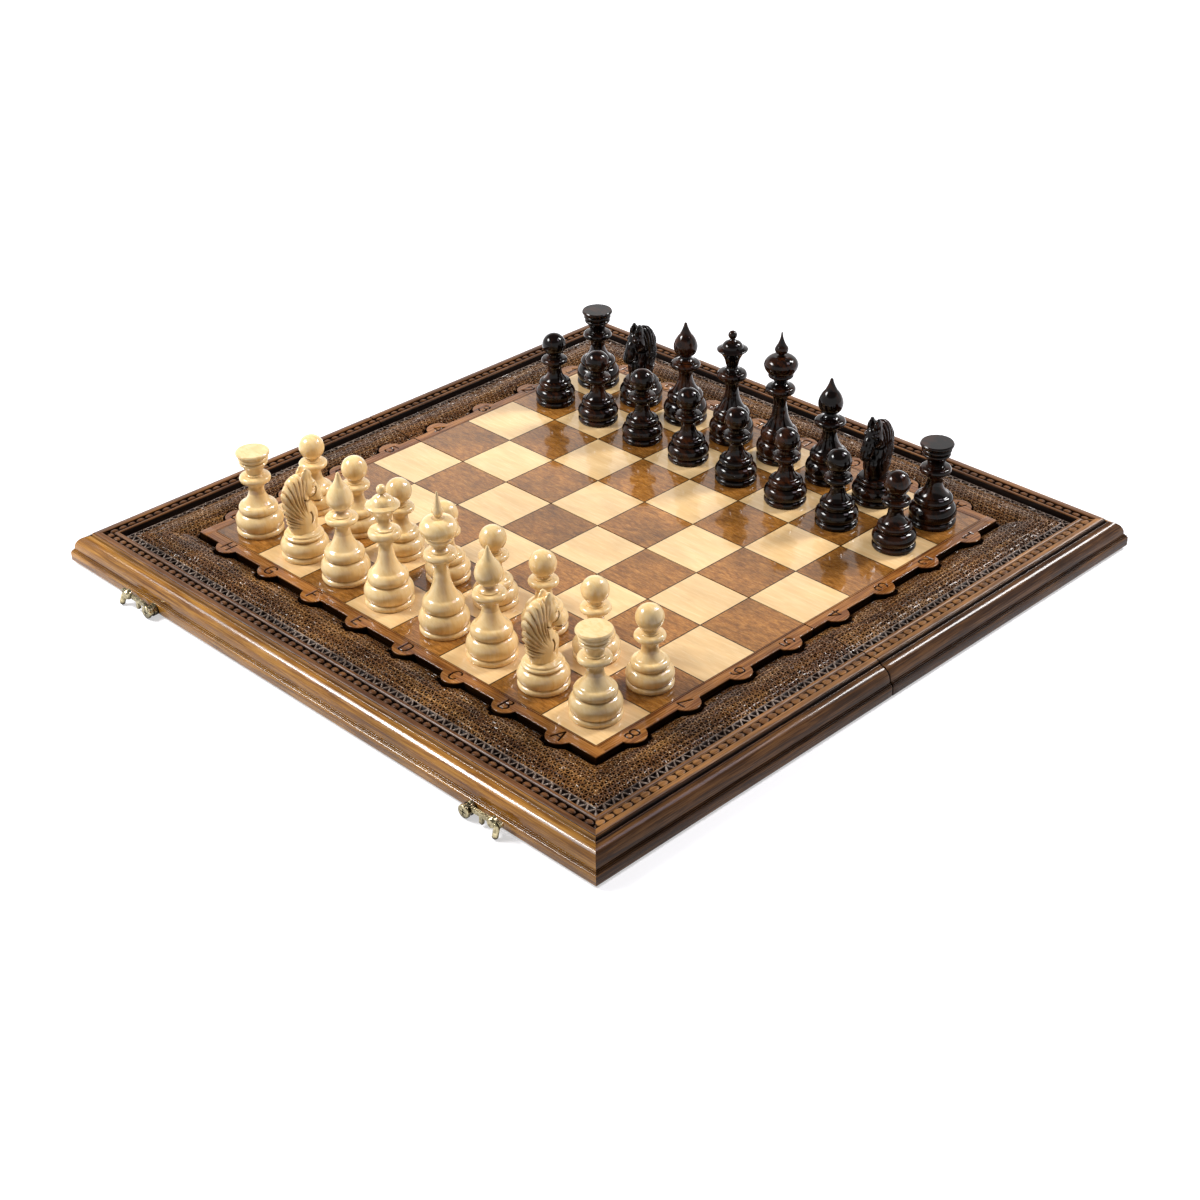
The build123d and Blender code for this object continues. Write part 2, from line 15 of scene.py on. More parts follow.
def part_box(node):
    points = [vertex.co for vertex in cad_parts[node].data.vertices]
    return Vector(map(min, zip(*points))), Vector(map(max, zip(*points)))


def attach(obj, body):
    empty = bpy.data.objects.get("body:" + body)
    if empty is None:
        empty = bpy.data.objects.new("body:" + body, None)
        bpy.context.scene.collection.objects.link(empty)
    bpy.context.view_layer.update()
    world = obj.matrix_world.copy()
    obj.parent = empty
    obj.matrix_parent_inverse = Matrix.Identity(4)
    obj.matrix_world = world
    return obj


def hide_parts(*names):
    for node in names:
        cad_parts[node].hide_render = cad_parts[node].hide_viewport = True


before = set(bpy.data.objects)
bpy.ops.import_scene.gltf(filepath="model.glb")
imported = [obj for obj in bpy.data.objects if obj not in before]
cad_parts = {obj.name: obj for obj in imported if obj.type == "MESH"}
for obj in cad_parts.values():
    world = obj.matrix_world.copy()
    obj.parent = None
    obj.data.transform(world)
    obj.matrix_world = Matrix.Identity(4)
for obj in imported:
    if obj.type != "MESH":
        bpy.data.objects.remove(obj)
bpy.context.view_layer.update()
rng = np.random.default_rng(11)
MM = 0.001

# Sizes of the part
square = 54.0
field_half = 216.0
plate_half = 225.7
lobe_r = 11.0
lobe_centre = 223.4
lobe_fillet = 1.6
panel_edge = 286.1
seam_y = 0.5
top_z = 27.5
panel_z = 17.5
tray_reach = 1.3
veneer = 1.5
line_half = 0.5
fold_depth = 10.0
major_base_r = 19.1
pawn_base_r = 17.5

# Carving
crest = 247.0
crest_drop = 0.6
crest_inner_r = 44.7
crest_outer_r = 41.6
pit_edge = 4.18
pit_rows = 10
pit_lip = 0.08
field_start = 225.4
# Painted glints: this share of the field's ridge crossings is marked bright, with this value
glint_share = 0.34
glint = -1.5
net_start = 262.0
net_end = 268.6
net_edge = 8.36
strip_reach = 275.0
# Along the plate's edge the field dips in a channel that is also painted dark as shade
channel_wide = 1.8
channel_fade = 1.6
channel_depth = 1.2
rope_pitch = 8.4
rope_middle = 277.9
rope_half = 3.2


# Node graphs
class Graph:
    """A material's node tree, with short calls for the nodes that the looks need."""

    def __init__(self, name, tree=None):
        if tree is None:
            self.material = bpy.data.materials.new(name)
            self.material.use_nodes = True
            tree = self.material.node_tree
        self.tree = tree
        tree.nodes.clear()

    def node(self, kind, *inputs, out=0, **settings):
        made = self.tree.nodes.new("ShaderNode" + kind)
        for key, value in settings.items():
            setattr(made, key, value)
        for socket, value in zip(made.inputs, inputs):
            if isinstance(value, bpy.types.NodeSocket):
                self.tree.links.new(value, socket)
            elif value is not None:
                socket.default_value = value
        return made.outputs[out]

    def math(self, operation, a, b=0.0):
        return self.node("Math", a, b, operation=operation)

    def times(self, a, b):
        return self.math("MULTIPLY", a, b)

    def noise(self, vector, scale, detail=3.0, rough=0.5, warp=0.0):
        shape = (None, scale, detail, rough, None, None, None, warp)
        return self.node("TexNoise", vector, *shape)

    def scaled(self, vector, scale):
        return self.node("Mapping", vector, None, None, scale)

    def span(self, value, low, high, start=0.0, end=1.0):
        """Maps low..high to start..end and clamps."""
        return self.node("MapRange", value, low, high, start, end)

    def mix(self, factor, a, b, blend="MIX"):
        pair = [v if isinstance(v, bpy.types.NodeSocket) else (*v, 1.0) for v in (a, b)]
        inputs = (factor, *(None,) * 5, *pair)
        return self.node("Mix", *inputs, out=2, data_type="RGBA", blend_type=blend)

    def bump(self, height, strength, distance):
        return self.node("Bump", strength, distance, None, height)

    def end(self, kind, shader):
        out = self.tree.nodes.new("ShaderNodeOutput" + kind)
        self.tree.links.new(shader, out.inputs[0])

    def surface(self, linked, fixed):
        shader = self.tree.nodes.new("ShaderNodeBsdfPrincipled")
        for key, value in linked.items():
            self.tree.links.new(value, shader.inputs[key])
        for key, value in fixed.items():
            shader.inputs[key].default_value = value
        self.end("Material", shader.outputs[0])
        return self.material


def coordinates(graph, source):
    """Where the wood's grain is measured: the mesh's own "grain" points, or the object."""
    if source == "grain":
        return graph.node("Attribute", attribute_name="grain", out=1)
    place = graph.node("TexCoord", out=3)
    if source == "own":
        chance = graph.node("ObjectInfo", out=5)
        shift = graph.node("CombineXYZ", graph.times(chance, 3.1), chance, 0.0)
        place = graph.node("VectorMath", place, shift, operation="ADD")
    return place


def wood(
    name, colours, stretch, source="grain", rough=(0.28, 0.45), shine=0.14,
    coat=0.8, coat_rough=0.08, coat_ior=1.36, streaks=1.0, blotches=0.5, pores=0.5,
    relief=0.2, sparkle=0.0, dull=True, stains_and_shades=None, squares=0.0,
):
    """Lacquered wood. colours are dark, middle and light; stretch is the grain's scale by axis."""
    g = Graph(name)
    place = coordinates(g, source)
    along = g.scaled(place, stretch)
    if squares:
        centred = g.scaled(place, (1 / (square * MM),) * 3)
        cell = g.node("VectorMath", centred, operation="FLOOR")
        inner = g.node("VectorMath", centred, operation="FRACTION")
        gaps = []
        for axis in (0, 1):
            part = g.node("SeparateXYZ", inner, out=axis)
            gaps.append(g.math("ABSOLUTE", g.math("SUBTRACT", part, 0.5)))
        rim = g.math("MAXIMUM", *gaps)
        chance = g.node("TexWhiteNoise", cell, out=0, noise_dimensions="3D")
        shift = g.node("CombineXYZ", g.times(chance, 7.0), g.times(chance, 5.0), 0.0)
        along = g.node("VectorMath", along, shift, operation="ADD")
    figure = g.noise(along, 1.0, 5.0, 0.62, 0.6)
    fine = g.noise(g.scaled(along, (2.2, 5.5, 5.5)), 1.0, 4.0, 0.6, 0.2)
    blotch = g.noise(place, 16.0, 2.0, 0.5, 0.4)
    tone = g.math("ADD", g.times(figure, 0.52), g.times(fine, 0.48))
    tone = g.span(tone, 0.5 - 0.2 / streaks, 0.5 + 0.2 / streaks)
    low = g.mix(g.span(tone, 0.0, 0.55), colours[0], colours[1])
    colour = g.mix(g.span(tone, 0.45, 1.0), low, colours[2])
    shade = g.span(blotch, 0.3, 0.7, 1.0 - 0.45 * blotches, 1.0 + 0.2 * blotches)
    if squares:
        shade = g.times(shade, g.span(chance, 0.0, 1.0, 1.0 - squares, 1.0 + squares))
        cloud = g.noise(along, 0.55, 3.0, 0.6, 1.2)
        cloud = g.span(cloud, 0.36, 0.62, 1.0 - 1.6 * squares, 1.0 + 0.5 * squares)
        shade = g.times(shade, cloud)
        line = 0.5 - line_half / square
        shade = g.times(shade, g.span(rim, line - 0.004, line + 0.004, 1.0, 0.12))
    pore = g.noise(g.scaled(along, (5.0, 34.0, 34.0)), 1.0, 1.0, 0.5)
    open_pore = g.span(pore, 0.60, 0.72)
    shade = g.times(shade, g.span(open_pore, 0.0, 1.0, 1.0, 1.0 - 0.6 * pores))
    linked, fixed = {}, {"Coat Roughness": coat_rough, "Coat IOR": coat_ior}
    depth = g.node("Attribute", attribute_name="stain_and_shade", out=2)
    if sparkle:
        speck_and_glint_noise = g.noise(place, 1000.0, 2.0, 0.7)
        shade = g.times(shade, g.span(speck_and_glint_noise, 0.36, 0.62, 1.0 - sparkle, 1.0 + sparkle))
    if stains_and_shades:
        inside = g.span(depth, stains_and_shades[0], stains_and_shades[1])
    if stains_and_shades and dull:
        linked["Specular IOR Level"] = g.span(inside, 0.0, 0.8, shine, 0.02)
        linked["Coat Weight"] = g.span(inside, 0.0, 0.6, coat, 0.0)
    else:
        fixed["Specular IOR Level"] = shine
        fixed["Coat Weight"] = coat
    grey = g.node("CombineColor", shade, shade, shade)
    colour = g.mix(1.0, colour, grey, "MULTIPLY")
    # Painted glints: bright flecks from the fine noise, and points marked below zero, take the glint
    # colour.
    if sparkle:
        glow = g.math("MAXIMUM", g.span(speck_and_glint_noise, 0.64, 0.71, 0.0, 0.9), g.span(depth, -0.3, -0.8))
        colour = g.mix(glow, colour, colours[3])
    # Painted shade: the colour darkens towards the tint where the mesh marks cuts, hollows and gaps,
    # partly stain as well.
    if stains_and_shades:
        stain_and_shade_tint = g.mix(inside, (1.0, 1.0, 1.0), stains_and_shades[2])
        colour = g.mix(1.0, colour, stain_and_shade_tint, "MULTIPLY")
    roughness = g.span(g.math("ADD", fine, g.times(open_pore, 0.5)), 0.35, 0.85, *rough)
    height = g.math("SUBTRACT", g.times(fine, 0.5), g.times(open_pore, 0.8))
    linked.update({"Base Color": colour, "Roughness": roughness})
    if relief:
        linked["Normal"] = g.bump(height, relief, 0.0004)
    return g.surface(linked, fixed)


def brass(name):
    g = Graph(name)
    place = g.node("TexCoord", out=3)
    broad = g.noise(place, 420.0, 2.0, 0.5, 0.2)
    fine = g.noise(place, 1400.0, 3.0, 0.6)
    # Darker in recesses, partly the patina that antique brass holds there and partly painted shade;
    # darker on faces turned down, as painted shade; patchy patina from the broad noise.
    recess_shade_and_patina = g.node("AmbientOcclusion", None, 0.006, out=1, samples=8)
    facing = g.node("SeparateXYZ", g.node("NewGeometry", out=1), out=2)
    patina_and_shade = g.span(broad, 0.40, 0.58, 0.45, 1.0)
    patina_and_shade = g.times(patina_and_shade, g.span(facing, -0.4, 0.5, 0.25, 1.0))
    bare_and_lit = g.times(g.span(recess_shade_and_patina, 0.62, 1.0), patina_and_shade)
    colour = g.mix(bare_and_lit, (0.025, 0.018, 0.009), (0.80, 0.69, 0.41))
    roughness = g.span(fine, 0.3, 0.7, 0.07, 0.20)
    normal = g.bump(broad, 0.45, 0.0012)
    linked = {"Base Color": colour, "Roughness": roughness, "Normal": normal}
    return g.surface(linked, {"Metallic": 1.0})


# Linear colours: dark, middle and light, and the painted glints of the two carved woods
field_look = dict(
    stretch=(14, 110, 110), rough=(0.24, 0.36), coat_rough=0.1, blotches=0.9, relief=0.3
)
carved = wood(
    "carved_wood",
    ((0.042, 0.013, 0.003), (0.125, 0.048, 0.012), (0.34, 0.165, 0.045), (1.0, 0.86, 0.62)),
    coat=0.5, sparkle=0.5, stains_and_shades=(0.15, 0.65, (0.035, 0.02, 0.025)), **field_look,
)
# Painted reflection: the net's greyer, lighter tones stand for the silvery sheen on its ridges.
net_sheen_wood = wood(
    "net_sheen_wood",
    ((0.050, 0.030, 0.020), (0.165, 0.115, 0.085), (0.36, 0.29, 0.24), (0.85, 0.80, 0.76)),
    coat=0.6, sparkle=0.6, stains_and_shades=(0.15, 0.75, (0.05, 0.035, 0.035)), **field_look,
)
plate_wood = wood(
    "plate_wood",
    ((0.085, 0.022, 0.005), (0.235, 0.082, 0.016), (0.42, 0.18, 0.042)),
    (12, 120, 120), rough=(0.22, 0.36), streaks=1.3, blotches=0.8,
    stains_and_shades=(0.1, 0.6, (0.04, 0.04, 0.04)),
)
rim_look = dict(
    stretch=(10, 130, 130), rough=(0.3, 0.45), coat=0.25, coat_rough=0.3,
    streaks=1.2, blotches=0.8, relief=0.3, stains_and_shades=(0.2, 1.3, (0.04, 0.035, 0.04)),
)
rim_tones = ((0.042, 0.015, 0.006), (0.125, 0.048, 0.015), (0.25, 0.11, 0.034))
rim_wood = wood("rim_wood", rim_tones, **rim_look)
# Painted light: the rim along the right side is a lighter copy of the rim wood, for the sheen it
# shows there.
lit_side_rim_tones = ((0.055, 0.020, 0.006), (0.185, 0.078, 0.022), (0.38, 0.18, 0.055))
lit_side_rim_wood = wood("lit_side_rim_wood", lit_side_rim_tones, **rim_look)
rail_look = dict(
    stretch=(14, 210, 210), rough=(0.18, 0.3), coat_rough=0.05,
    streaks=1.15, blotches=0.8, relief=0.1, stains_and_shades=(0.2, 1.0, (0.05, 0.05, 0.06)),
)
rail_tones = ((0.095, 0.029, 0.005), (0.33, 0.138, 0.020), (0.58, 0.29, 0.058))
rail_wood = wood("rail_wood", rail_tones, coat=0.75, **rail_look)
# Painted shade: the end rails are a darker copy of the rail wood, for the shade on the sides turned
# from the key light.
shaded_end_rail_tones = ((0.022, 0.008, 0.004), (0.080, 0.033, 0.011), (0.21, 0.094, 0.030))
shaded_end_rail_wood = wood("shaded_end_rail_wood", shaded_end_rail_tones, shine=0.06, coat=0.35, **rail_look)
inlay_look = dict(source="object", rough=(0.2, 0.34), coat=1.0, coat_ior=1.5)
light_wood = wood(
    "light_squares_wood",
    ((0.62, 0.37, 0.15), (0.755, 0.51, 0.245), (0.80, 0.60, 0.34)),
    (24, 90, 90), streaks=0.4, blotches=0.25, pores=0.15, relief=0.06, squares=0.06,
    **inlay_look,
)
dark_wood = wood(
    "dark_squares_wood",
    ((0.105, 0.032, 0.005), (0.30, 0.118, 0.020), (0.52, 0.24, 0.055)),
    (110, 300, 300), coat_rough=0.06, streaks=0.85, blotches=0.9, pores=0.8,
    relief=0.12, squares=0.14, **inlay_look,
)
piece_look = dict(source="own", coat=1.0, pores=0.1, dull=False)
# Painted shade: the pieces darken towards the last tint in their hollows and cuts.
white_wood = wood(
    "white_piece_wood",
    ((0.74, 0.44, 0.15), (0.88, 0.63, 0.29), (0.92, 0.735, 0.43)),
    (70, 70, 10), rough=(0.26, 0.38), coat_rough=0.1, coat_ior=1.5, streaks=0.6,
    blotches=0.4, relief=0.04, stains_and_shades=(0.0, 1.0, (0.34, 0.20, 0.08)), **piece_look,
)
black_wood = wood(
    "black_piece_wood",
    ((0.0012, 0.0006, 0.0005), (0.0045, 0.0016, 0.001), (0.070, 0.019, 0.005)),
    (55, 55, 14), rough=(0.12, 0.2), shine=0.02, coat_rough=0.02, coat_ior=1.30,
    streaks=0.9, blotches=0.6, relief=0.0, stains_and_shades=(0.0, 1.0, (0.25, 0.2, 0.2)), **piece_look,
)
tray_wood = wood(
    "tray_wood",
    ((0.10, 0.040, 0.015), (0.24, 0.105, 0.038), (0.38, 0.19, 0.075)),
    (9, 90, 90), source="object", rough=(0.4, 0.6), coat=0.3, coat_rough=0.3,
    stains_and_shades=(0.1, 1.0, (0.05, 0.05, 0.05)),
)
metal = brass("antique_brass")


# Meshes
def placed(name, data):
    made = bpy.data.objects.new(name, data)
    bpy.context.scene.collection.objects.link(made)
    return made


def mesh_from(name, points, faces, stain_and_shade, smooth, crease, materials):
    """A mesh of points in millimetres, with a darkening value at each point: painted shade in cuts,
    hollows and gaps, partly stain, growing with the depth of the cuts; below zero it marks painted
    glints.
    """
    mesh = bpy.data.meshes.new(name)
    mesh.from_pydata((np.asarray(points) * MM).tolist(), [], faces)
    mesh.polygons.foreach_set("use_smooth", smooth)
    layer = mesh.attributes.new("stain_and_shade", "FLOAT", "POINT")
    layer.data.foreach_set("value", np.asarray(stain_and_shade, np.float32))
    mesh.set_sharp_from_angle(angle=radians(crease))
    for material in materials:
        mesh.materials.append(material)
    mesh.update()
    return mesh


class Surface:
    """Collects the patches of one piece in a side's own coordinates, then makes its mesh."""

    def __init__(self):
        self.points, self.grain, self.stain_and_shade = [], [], []
        self.faces, self.slots, self.smooth = [], [], []
        self.count = 0

    def add(self, points, faces, quarter, slot, stain_and_shade, smooth=True):
        """points are (along, out, up); quarter turns the side round the board."""
        points = np.asarray(points, float)
        along, out, up = points.T
        x, y = ((along, -out), (out, along), (-along, out), (-out, -along))[quarter % 4]
        self.points.append(np.column_stack([x, y, up + top_z]))
        shift = np.array([700.0 * quarter, 40.0 * quarter, 0.0])
        self.grain.append((points + shift) * MM)
        self.stain_and_shade.append(np.broadcast_to(np.asarray(stain_and_shade, float), len(points)))
        self.faces += [[i + self.count for i in face] for face in faces]
        self.slots += [slot] * len(faces)
        self.smooth += [smooth] * len(faces)
        self.count += len(points)

    def build(self, name, materials, crease=35):
        points, stain_and_shade = np.vstack(self.points), np.concatenate(self.stain_and_shade)
        mesh = mesh_from(name, points, self.faces, stain_and_shade, self.smooth, crease, materials)
        mesh.polygons.foreach_set("material_index", self.slots)
        layer = mesh.attributes.new("grain", "FLOAT_VECTOR", "POINT")
        layer.data.foreach_set("vector", np.vstack(self.grain).astype(np.float32).ravel())
        mesh.update()
        return placed(name, mesh)


def grid_faces(columns, rows, flip=False):
    """Quads between points that are listed column by column."""
    faces = []
    for i in range(columns - 1):
        for j in range(rows - 1):
            a = i * rows + j
            quad = [a, a + 1, a + rows + 1, a + rows]
            faces.append(quad[::-1] if flip else quad)
    return faces


spans = {
    "full": lambda out: (-out, out),
    "low": lambda out: (-out, np.full_like(out, -seam_y)),
    "high": lambda out: (np.full_like(out, seam_y), out),
}
# The near half has the whole front side and the near parts of the two ends.
parts_of_half = ((0, "full"), (1, "low"), (3, "high"))


def swell(out):
    """Smooth height of the carved field above the squares' level."""
    out = np.asarray(out, float)
    rise = np.sqrt(crest_inner_r**2 - np.clip(crest - out, 0, 40) ** 2)
    fall = np.sqrt(crest_outer_r**2 - np.clip(out - crest, 0, 15) ** 2)
    inner = -crest_drop - (crest_inner_r - rise)
    outer = -crest_drop - (crest_outer_r - fall)
    beyond = outer - np.clip(out - net_start, 0, 20) * 0.15
    return np.where(out < crest, inner, beyond)


# The rounded end of a moulding: steps away from the seam, and the drop towards its core
seam_rounding = ((0.0, 0.6), (0.15, 0.3), (0.4, 0.1), (0.9, 0.0))
core_reach = 12


def ruled(surface, profile, quarter, span, slot, columns=2, core=None):
    """A moulding of (out, up, darkening) points, between the mitres or from a mitre to the seam. The
    darkening paints shade into its grooves and walls.

    With a core point, the end at the seam is rounded over towards that point.
    """
    profile = np.asarray(profile, float)
    section, stain_and_shade = profile[:, :2], profile[:, 2]
    start, end = spans[span](section[:, 0])
    places = [(t, 0.0, 0.0) for t in np.linspace(0, 1, columns)]
    if core is not None and span == "low":
        places[-1:] = [(1.0, -away, drop) for away, drop in seam_rounding[::-1]]
    elif core is not None and span == "high":
        places[:1] = [(0.0, away, drop) for away, drop in seam_rounding]
    points = []
    for t, step, drop in places:
        shape = section if core is None else core + (section - core) * (1 - drop / core_reach)
        points.append(np.column_stack([start + t * (end - start) + step, shape]))
    faces = grid_faces(len(places), len(section), flip=True)
    surface.add(np.vstack(points), faces, quarter, slot, np.tile(stain_and_shade, len(places)))


def clipped(points, stains_and_shades, faces, cuts):
    """Cuts a patch by planes (point, normal), dropping what lies outside."""
    bm = bmesh.new()
    layer = bm.verts.layers.float.new("stain_and_shade")
    verts = []
    for point, stain_and_shade in zip(points, stains_and_shades):
        vert = bm.verts.new(point)
        vert[layer] = stain_and_shade
        verts.append(vert)
    for face in faces:
        bm.faces.new([verts[i] for i in face])
    for point, normal in cuts:
        geometry = bm.verts[:] + bm.edges[:] + bm.faces[:]
        bmesh.ops.bisect_plane(
            bm, geom=geometry, dist=1e-5, plane_co=point, plane_no=normal, clear_outer=True
        )
    bm.verts.index_update()
    new_points = np.array([v.co for v in bm.verts])
    new_pits = np.array([v[layer] for v in bm.verts])
    new_faces = [[v.index for v in f.verts] for f in bm.faces]
    bm.free()
    return new_points, new_pits, new_faces


def outline(along):
    """The plate's edge: straight, with a half round tab beside every square."""
    offset = np.mod(np.asarray(along, float), square) - square / 2
    dome = lobe_centre + np.sqrt(np.clip(lobe_r**2 - offset**2, 0, None))
    gap = np.clip(np.abs(dome - plate_half) / lobe_fillet, 0, 1)
    blend = np.where(np.abs(offset) < lobe_r, 0.25 * (1 - gap) ** 2, 0)
    return np.maximum(dome, plate_half) + blend


def pitted_strip(edge, start, end, rows, inner, depth, wobble, shaded_channel_and_glints=False):
    """Triangular pits between thin ridges, from one mitre to the other."""
    row_height = (end - start) / rows
    count = int(2 * strip_reach / edge) + 2
    corners = np.zeros((rows + 1, count, 2))
    for j in range(rows + 1):
        corners[j, :, 0] = (np.arange(count) - count / 2 + 0.5 * (j % 2)) * edge
        corners[j, :, 1] = start + j * row_height
    shake = rng.uniform(-wobble, wobble, corners.shape)
    shake[0, :, 1] = shake[-1, :, 1] = 0
    corners += shake
    flat = corners.reshape(-1, 2)
    triangles = []
    for j in range(rows):
        for i in range(count - 1):
            a, b = j * count + i, j * count + i + 1
            c, d = a + count, b + count
            triangles += [(a, b, d), (a, d, c)] if j % 2 else [(a, b, c), (b, d, c)]
    triangles = np.array(triangles)
    corner = flat[triangles]
    centre = corner.mean(1)
    share = rng.uniform(inner[0], inner[1], (len(triangles), 1, 1))
    ring = (centre[:, None] + share * (corner - centre[:, None])).reshape(-1, 2)
    low = centre + rng.uniform(-0.12, 0.12, centre.shape) * edge
    sink = rng.uniform(depth[0], depth[1], len(triangles))
    points = [np.column_stack([flat, swell(flat[:, 1])])]
    points.append(np.column_stack([ring, swell(ring[:, 1]) - pit_lip]))
    points.append(np.column_stack([low, swell(low[:, 1]) - sink]))
    # Painted glints at some ridge crossings; each pit darkens with its depth, as painted shade and
    # partly stain.
    crossing_glints = np.where(rng.random(len(flat)) < glint_share, glint, 0.0) * shaded_channel_and_glints
    stains_and_shades = np.concatenate([crossing_glints, np.full(len(ring), 0.12), sink])
    faces = []
    bottom = len(flat) + len(ring)
    for t, (a, b, c) in enumerate(triangles.tolist()):
        p, q, r = (len(flat) + 3 * t + i for i in range(3))
        faces += [[p, q, b, a], [q, r, c, b], [r, p, a, c]]
        faces += [[bottom + t, q, p], [bottom + t, r, q], [bottom + t, p, r]]
    mitres = (((0, 0, 0), (1, -1, 0)), ((0, 0, 0), (-1, -1, 0)))
    points, stains_and_shades, faces = clipped(np.vstack(points), stains_and_shades, faces, mitres)
    # Along the plate's edge the field dips and is painted dark as the shadow of the plate's wall.
    if shaded_channel_and_glints:
        away = points[:, 1] - outline(points[:, 0])
        channel_dip_and_shade = np.clip((channel_wide + channel_fade - away) / channel_fade, 0, 1)
        channel_dip_and_shade = np.where(np.abs(points[:, 0]) < field_half + 20, channel_dip_and_shade, 0)
        stains_and_shades = np.maximum(stains_and_shades, 1.5 * channel_dip_and_shade)
        points[:, 2] -= channel_depth * channel_dip_and_shade
    edge_of = np.abs(np.abs(points[:, 0]) - points[:, 1]) < 0.02
    points[edge_of, 2] = swell(points[edge_of, 1])
    stains_and_shades[edge_of] *= 0.5
    return {
        "full": (points, stains_and_shades, faces),
        "low": clipped(points, stains_and_shades, faces, (((-seam_y, 0, 0), (1, 0, 0)),)),
        "high": clipped(points, stains_and_shades, faces, (((seam_y, 0, 0), (-1, 0, 0)),)),
    }


# Strokes of "across,up" points in a box that is one wide and one high, parted by bars
glyphs = {
    "A": "0,0 .5,1 1,0 | .2,.36 .8,.36",
    "B": ".1,0 .1,1 | .1,1 .4,1 .65,1 .86,.9 .86,.66 .65,.54 .4,.54 .1,.54"
    " | .1,.54 .4,.54 .7,.54 .96,.42 .96,.12 .7,0 .4,0 .1,0",
    "C": ".95,.76 .8,.95 .5,1 .15,.9 0,.5 .15,.1 .5,0 .8,.05 .95,.24",
    "D": ".1,0 .1,1 | .1,1 .35,1 .6,1 .95,.85 1,.5 .95,.15 .6,0 .35,0 .1,0",
    "E": ".9,1 .1,1 .1,0 .9,0 | .1,.52 .72,.52",
    "F": ".9,1 .1,1 .1,0 | .1,.52 .72,.52",
    "G": ".95,.78 .8,.95 .5,1 .15,.9 0,.5 .15,.1 .5,0 .8,.05 .95,.22"
    " | .95,.1 .95,.44 .58,.44",
    "H": ".08,0 .08,1 | .92,0 .92,1 | .08,.5 .92,.5",
    "1": ".22,.78 .55,1 .55,0 | .25,0 .85,0",
    "2": ".06,.72 .12,.92 .45,1 .8,.95 .92,.72 .75,.46 .4,.24 | .5,.3 .06,0 .96,0",
    "3": ".08,.84 .25,.98 .6,1 .88,.88 .86,.64 .6,.53 .36,.53"
    " | .36,.53 .65,.53 .96,.42 .95,.12 .6,0 .25,.02 .06,.16",
    "4": ".72,0 .72,1 .03,.3 .98,.3",
    "5": ".88,1 .18,1 .12,.56 | .12,.56 .35,.64 .75,.62 .97,.4 .9,.1 .55,0 .25,.01 .06,.14",
    "6": ".85,.93 .6,1 .25,.85 .04,.45 .08,.1 .45,0 .9,.04 .98,.32 .85,.58 .5,.62 .15,.52 .06,.3",
    "7": ".05,1 .95,1 .38,0",
    "8": ".5,.54 .14,.6 .1,.92 .5,1 .9,.92 .86,.6 .5,.54"
    " | .5,.54 .04,.48 .02,.06 .5,0 .98,.06 .96,.48 .5,.54",
}
glyph_size = (7.6, 11.0)
glyph_out = 223.7
groove_half = 0.95
groove_depth = 1.1


def rounded(points, times=2):
    """Cuts the corners of a stroke, with its ends kept."""
    for _ in range(times):
        cut = [points[0]]
        for a, b in zip(points, points[1:]):
            cut.append(0.75 * a + 0.25 * b)
            cut.append(0.25 * a + 0.75 * b)
        points = cut + [points[-1]]
    return points


def groove(u, v, letter):
    """Depth of a letter's V cut at points (u right, v up) from the letter's middle."""
    depth = 0
    wide, high = glyph_size
    for stroke in glyphs[letter].split("|"):
        pairs = [map(float, point.split(",")) for point in stroke.split()]
        points = [np.array(((x - 0.5) * wide, (y - 0.5) * high)) for x, y in pairs]
        if len(points) > 5:
            points = rounded(points)
        for a, b in zip(points, points[1:]):
            edge = b - a
            t = np.clip(((u - a[0]) * edge[0] + (v - a[1]) * edge[1]) / (edge @ edge), 0, 1)
            gap = np.hypot(u - a[0] - t * edge[0], v - a[1] - t * edge[1])
            depth = np.maximum(depth, 1 - gap / groove_half)
    return np.clip(depth, 0, 1) * groove_depth


def plate_columns(start, end):
    """Where the plate is sampled along a side: finely at the tabs and their letters."""
    tab = lobe_r * np.sin(np.radians(np.arange(-90, 91, 6)))
    values = {start, end}
    for i in range(8):
        middle = (i + 0.5) * square - field_half
        for offsets in (np.arange(-6.2, 6.3, 0.42), tab, np.array((-20, -12.2, 12.2, 20))):
            values.update(middle + offsets)
    ordered = sorted(v for v in values if start <= v <= end)
    kept = [ordered[0]]
    for value in ordered[1:]:
        if value - kept[-1] > 0.12:
            kept.append(value)
    kept[-1] = end
    return np.array(kept)


# (out, up, darkening) of the thin line round the squares, and of the plate's bevelled edge; the
# line's groove is darker, and the edge's wall below the plate is painted dark as shade
scribe = ((0, 0, 0), (0.5, 0, 0), (0.8, 0, 0.1), (1.15, -0.55, 0.7), (1.5, 0, 0.1), (2.0, 0, 0))
bevel = ((-0.45, 0, 0), (-0.2, -0.1, 0.12), (0, -0.4, 0.35), (0.04, -1.2, 0.6), (0.04, -6.4, 0.8))
plate_rows = 38
PLATE, FIELD, RIM, TRAY, LIT_SIDE_RIM, NET_SHEEN = range(6)


